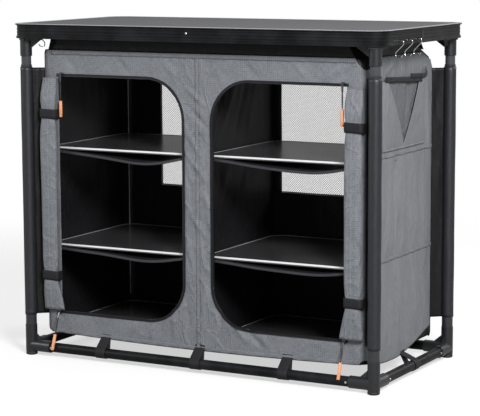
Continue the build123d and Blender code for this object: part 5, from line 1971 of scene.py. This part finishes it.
@dataclass
class Shelves:
    """The six boards: laminate faces, a front trim and a thin band round the rest, both paled in
    part as a painted highlight.
    """

    shop: Workshop
    round_back: float = 38 * MM
    round_front: float = 6 * MM

    def build(self) -> None:
        """Finish every board."""
        for side in Side:
            for level in ("lower", "middle", "upper"):
                name = f"{side.label}_{level}"
                self.shop.coat(SHELF_FACE, f"shelf_board_{name}")
                self.edges(name)

    def edges(self, name: str) -> None:
        """Run the front trim and the edge band round one board."""
        low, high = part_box(f"shelf_board_{name}")
        lip, proud, bead = 2.2 * MM, 0.45 * MM, 3.0 * MM
        rb, rf = self.round_back, self.round_front
        around = [Vector((low.x, low.y + rf))]
        around += arc((low.x + rb, high.y - rb), rb, 180, 90, 8)
        around += arc((high.x - rb, high.y - rb), rb, 90, 0, 8)
        around += [Vector((high.x, low.y + rf))]
        front = arc((high.x - rf, low.y + rf), rf, 0, -90, 4)
        front += arc((low.x + rf, low.y + rf), rf, 270, 180, 4)
        profile = Route(
            tidy(
                [
                    Vector((-lip, high.z + proud)),
                    Vector((0.0, high.z + proud)),
                    Vector((proud, high.z)),
                    Vector((proud, high.z - bead)),
                    Vector((0.0, high.z - bead - proud)),
                    Vector((-0.3 * MM, high.z - bead - proud)),
                ]
            )
        )
        # The band's pale colour is partly its own grey, partly a painted glint
        self.strip(f"board_band_{name}", f"board_{name}", around, profile, THIN_BAND_AND_GLINT)
        # The trim's near-white colour is partly its own, partly a painted highlight
        self.strip(f"board_trim_{name}", f"board_{name}", front, profile, FRONT_TRIM_AND_HIGHLIGHT)

    def strip(
        self, name: str, body: str, points: list[Vector], profile: Route, finish: Finish
    ) -> None:
        """Run a profile round part of a board's edge.

        Args:
            name: The piece's name.
            body: The board's body.
            points: The edge, seen from above.
            profile: The strip's section: distance off the edge, and height.
            finish: Its finish.
        """
        route = Route(tidy(points))
        last = len(profile.points) - 1

        def place(along: float, share: float) -> Vector:
            """Return the place of a point of the strip."""
            point, heading = route.at(along)
            spot = profile.points[min(round(share * last), last)]
            edge = point + Vector((-heading.y, heading.x)) * spot.x
            return Vector((edge.x, edge.y, spot.y))

        cells = max(40, round(route.length / 0.012))
        cut = flat_cut((0, 0), (route.length, 1), (cells, last))
        hang(cut, place, flip=True)
        self.shop.piece(name, cut, (finish,), body, "shelf_laminate", (), 0.3 * MM, smooth=False)


@dataclass
class FrameParts:
    """The tabletop, tubes, sockets, connectors, feet, rivets and hooks: CAD with finishes."""

    shop: Workshop

    def build(self) -> None:
        """Coat every rigid node."""
        coat = self.shop.coat
        coat(LAMINATE, "tabletop_panel")
        coat(RIM_COAT, "tabletop_rim")
        coat(MOULDING, "rim_joint_insert")
        coat(RIVET, "rim_rivets", "rail_rivets")
        coat(INSERT_COAT, "leg_insert_tubes")
        coat(RUBBER, "feet")
        rails = [f"bottom_rail_{name}" for name in ("front", "back", "left", "right")]
        corners = [f"{end.label}_{side.label}" for end in End for side in Side]
        coat(TUBE_COAT, *[f"leg_tube_{name}" for name in corners])
        # The rails and the brace take the darker coat as painted shade
        coat(RAIL_SHADE_COAT, "cross_brace", *rails)
        for kind in ("top_socket", "corner_connector"):
            coat(MOULDING, *[f"{kind}_{name}" for name in corners])
        hooks = ("right_front", "right_middle", "right_back", "left_front")
        coat(WIRE, *[f"s_hook_{name}" for name in hooks])


# Light, floor and camera ----------------------------------------------------------------------


@dataclass
class Studio:
    """The pale room, the lamps and the photograph's camera."""

    lens: float = 141.8
    sensor: float = 36.0
    at: tuple[float, float, float] = (2.2536, -4.1821, 1.0531)
    heading: float = 28.247
    pitch: float = 8.043
    roll: float = -0.231
    world_strength: float = 0.38
    glow: float = 0.6
    floor_near: float = 1.3
    floor_far: float = 2.8
    # Name, place, size and power of each lamp
    lamps: tuple[tuple[str, tuple[float, float, float], float, float], ...] = (
        ("key_light", (2.9, -3.0, 2.6), 1.0, 255.0),
        ("left_light", (-3.2, -2.2, 2.0), 1.2, 60.0),
        ("back_light", (2.4, 3.0, 2.6), 1.2, 70.0),
    )

    def build(self) -> None:
        """Set up the camera, the floor, the world and the lamps."""
        self.camera()
        self.floor()
        self.world()
        for name, at, size, power in self.lamps:
            self.lamp(name, at, size, power)
        bpy.context.scene.view_settings.view_transform = "Standard"

    def camera(self) -> None:
        """Place the camera."""
        data = bpy.data.cameras.new("camera")
        data.lens, data.sensor_width, data.sensor_fit = self.lens, self.sensor, "HORIZONTAL"
        data.clip_end = 60.0
        made = bpy.data.objects.new("camera", data)
        made.location = self.at
        turn = Euler((math.radians(90 - self.pitch), 0.0, math.radians(self.heading)), "XYZ")
        made.rotation_euler = (
            turn.to_matrix() @ Matrix.Rotation(math.radians(self.roll), 3, "Z")
        ).to_euler()
        bpy.context.collection.objects.link(made)
        bpy.context.scene.camera = made

    def pale(self, tree: Tree) -> Socket:
        """Return 1 for rays from the camera, or through glass."""
        path = node(tree, "ShaderNodeLightPath").outputs
        return sums(tree, [(path["Is Camera Ray"], 1), (path["Is Transmission Ray"], 1)])

    def floor(self) -> None:
        """Make the floor: white paper that keeps the object's shadow and fades out far off."""
        mesh = bmesh.new()
        bmesh.ops.create_grid(mesh, x_segments=2, y_segments=2, size=30.0)
        data = bpy.data.meshes.new("floor")
        mesh.to_mesh(data)
        mesh.free()
        made = bpy.data.objects.new("floor", data)
        bpy.context.collection.objects.link(made)
        material = bpy.data.materials.new("paper, white, matt")
        material.use_nodes = True
        tree = material.node_tree
        tree.nodes.clear()
        seen = self.pale(tree)
        colour = mixed(tree, seen, "#a2a2a2", "#fdfdfd")
        lit = node(tree, "ShaderNodeBsdfDiffuse", {"Color": colour})
        glow = node(tree, "ShaderNodeEmission", {"Color": linear("#ffffff"), "Strength": 1.0})
        share = ramp(tree, seen, (0.0, 1.0), (0.0, self.glow))
        paper = node(
            tree, "ShaderNodeMixShader", {0: share, 1: lit.outputs[0], 2: glow.outputs[0]}
        )
        nothing = node(tree, "ShaderNodeBsdfTransparent")
        at = node(tree, "ShaderNodeTexCoord").outputs["Object"]
        away = node(tree, "ShaderNodeVectorMath", {0: at}, operation="LENGTH").outputs["Value"]
        fade = ramp(tree, away, (self.floor_near, self.floor_far))
        shader = node(
            tree, "ShaderNodeMixShader", {0: fade, 1: paper.outputs[0], 2: nothing.outputs[0]}
        )
        node(tree, "ShaderNodeOutputMaterial", {"Surface": shader.outputs[0]})
        data.materials.append(material)

    def world(self) -> None:
        """Make the white surroundings."""
        world = bpy.data.worlds.new("studio")
        world.use_nodes = True
        tree = world.node_tree
        tree.nodes.clear()
        strength = ramp(tree, self.pale(tree), (0.0, 1.0), (self.world_strength, 1.0))
        shader = node(tree, "ShaderNodeBackground", {"Color": (1, 1, 1, 1), "Strength": strength})
        node(tree, "ShaderNodeOutputWorld", {"Surface": shader.outputs[0]})
        bpy.context.scene.world = world

    def lamp(self, name: str, at: tuple[float, float, float], size: float, power: float) -> None:
        """Hang a square soft lamp that faces the cupboard."""
        data = bpy.data.lights.new(name, "AREA")
        data.shape, data.size, data.energy = "SQUARE", size, power
        made = bpy.data.objects.new(name, data)
        made.location = at
        aim = Vector((0, 0, 0.45)) - Vector(at)
        made.rotation_euler = aim.to_track_quat("-Z", "Y").to_euler()
        bpy.context.collection.objects.link(made)


# Distance from each slider's pin down to its grip, as in the photograph
PULL_DROPS = {
    "left_top": 0.066,
    "right_top": 0.058,
    "left_bottom": 0.058,
    "right_bottom": 0.049,
}
DIVIDER_FOLDS = folds(
    (-200, 600, -60, 760, 12, 4),
    (-160, 560, -20, 750, 10, -3.5),
    (-100, 570, 30, 760, 12, 3.5),
    (-20, 550, 70, 740, 11, -3),
    (50, 560, 120, 750, 13, 3),
    (-140, 320, -50, 500, 14, 3),
    (-40, 330, 50, 500, 12, -3),
    (60, 100, 100, 270, 14, 3),
    (-120, 100, -60, 260, 14, -3),
)
FRONT_FOLDS = folds(
    # Puckers that fan out below the doors' round corners
    (-180, 112, -195, 68, 6, 3),
    (-150, 118, -165, 70, 6, -3),
    (-125, 126, -140, 66, 6, 3.5),
    (-100, 140, -118, 70, 6, -3.5),
    (-70, 165, -70, 70, 7, 4),
    (-35, 200, -26, 80, 7, -4),
    (22, 230, 10, 100, 7, 4.5),
    (60, 190, 60, 90, 7, -4),
    (90, 140, 135, 82, 6, 4),
    (130, 118, 185, 70, 6, -4.5),
    (170, 112, 205, 66, 6, 3),
    # Slack in the upright between the doors
    (-34, 705, 24, 655, 6, 4),
    (-30, 660, 30, 600, 6, -4),
    (-36, 610, 0, 545, 6, 4),
    (34, 585, 10, 520, 6, -3.5),
    (-28, 535, 30, 470, 6, 4),
    (-20, 470, -18, 400, 6, -3.5),
    (12, 455, 34, 405, 6, 3.5),
    (-26, 400, 22, 335, 6, 4),
    (30, 365, 12, 300, 6, -4),
    (-30, 320, -12, 255, 6, 3.5),
    (6, 300, 30, 240, 6, 3.5),
    # Drag lines in the band over the doors, and beside them
    (-100, 770, -55, 722, 8, 3),
    (-235, 775, -190, 728, 7, -3),
    (-380, 775, -350, 730, 7, -2.6),
    (120, 774, 165, 726, 8, -3),
    (255, 776, 300, 730, 7, 3),
    (340, 728, 398, 774, 7, 4),
    (372, 728, 420, 766, 7, -4),
    (425, 100, 435, 500, 8, 3),
    (-425, 100, -435, 500, 8, 3),
)
RIGHT_FOLDS = folds(
    # Long soft folds below the pocket, and drag lines from its corners
    (-4, 545, 12, 310, 14, 8),
    (30, 548, 52, 330, 11, -6),
    (60, 545, 95, 340, 12, 6.5),
    (-34, 545, -40, 360, 11, -6),
    (-70, 540, -90, 310, 13, 7),
    (105, 540, 130, 350, 12, -5),
    (-145, 540, -150, 310, 10, 5),
    (-115, 290, -140, 80, 13, 7),
    (-75, 280, -65, 100, 11, -6),
    (-25, 290, -12, 70, 13, 7.5),
    (18, 260, 32, 90, 11, -5),
    (62, 290, 88, 100, 13, 7),
    (110, 280, 145, 130, 12, -5),
    (140, 730, 172, 480, 11, 6),
    (-155, 730, -150, 570, 8, 5),
    (-40, 772, -100, 742, 8, 3),
)


def main() -> None:
    """Build the classes in order."""
    logging.basicConfig(level=logging.INFO, format="%(name)s: %(message)s")
    shop = Workshop()
    sizes = BodySizes()
    front = EndWall(sizes, End.FRONT, Drape(FRONT_FOLDS, 1.6 * MM, (0.05, 0.09), 1.0))
    back = EndWall(sizes, End.BACK, Drape((), 2.0 * MM, (0.08, 0.14), 5.0))
    sides = {
        Side.LEFT: SideWall(sizes, Side.LEFT, Drape((), 2.6 * MM, (0.07, 0.20), 8.0)),
        Side.RIGHT: SideWall(sizes, Side.RIGHT, Drape(RIGHT_FOLDS, 1.8 * MM, (0.06, 0.16), 9.0)),
    }
    Studio().build()
    FrameParts(shop).build()
    Shelves(shop).build()
    ClothBody(shop, sizes, front, back, sides).build()
    DoorSet(shop, front).build()
    LegCloth(shop, sizes).build()
    RailStraps(shop).build()
    SidePocket(shop, sides[Side.RIGHT]).build()


if __name__ == "__main__":
    main()
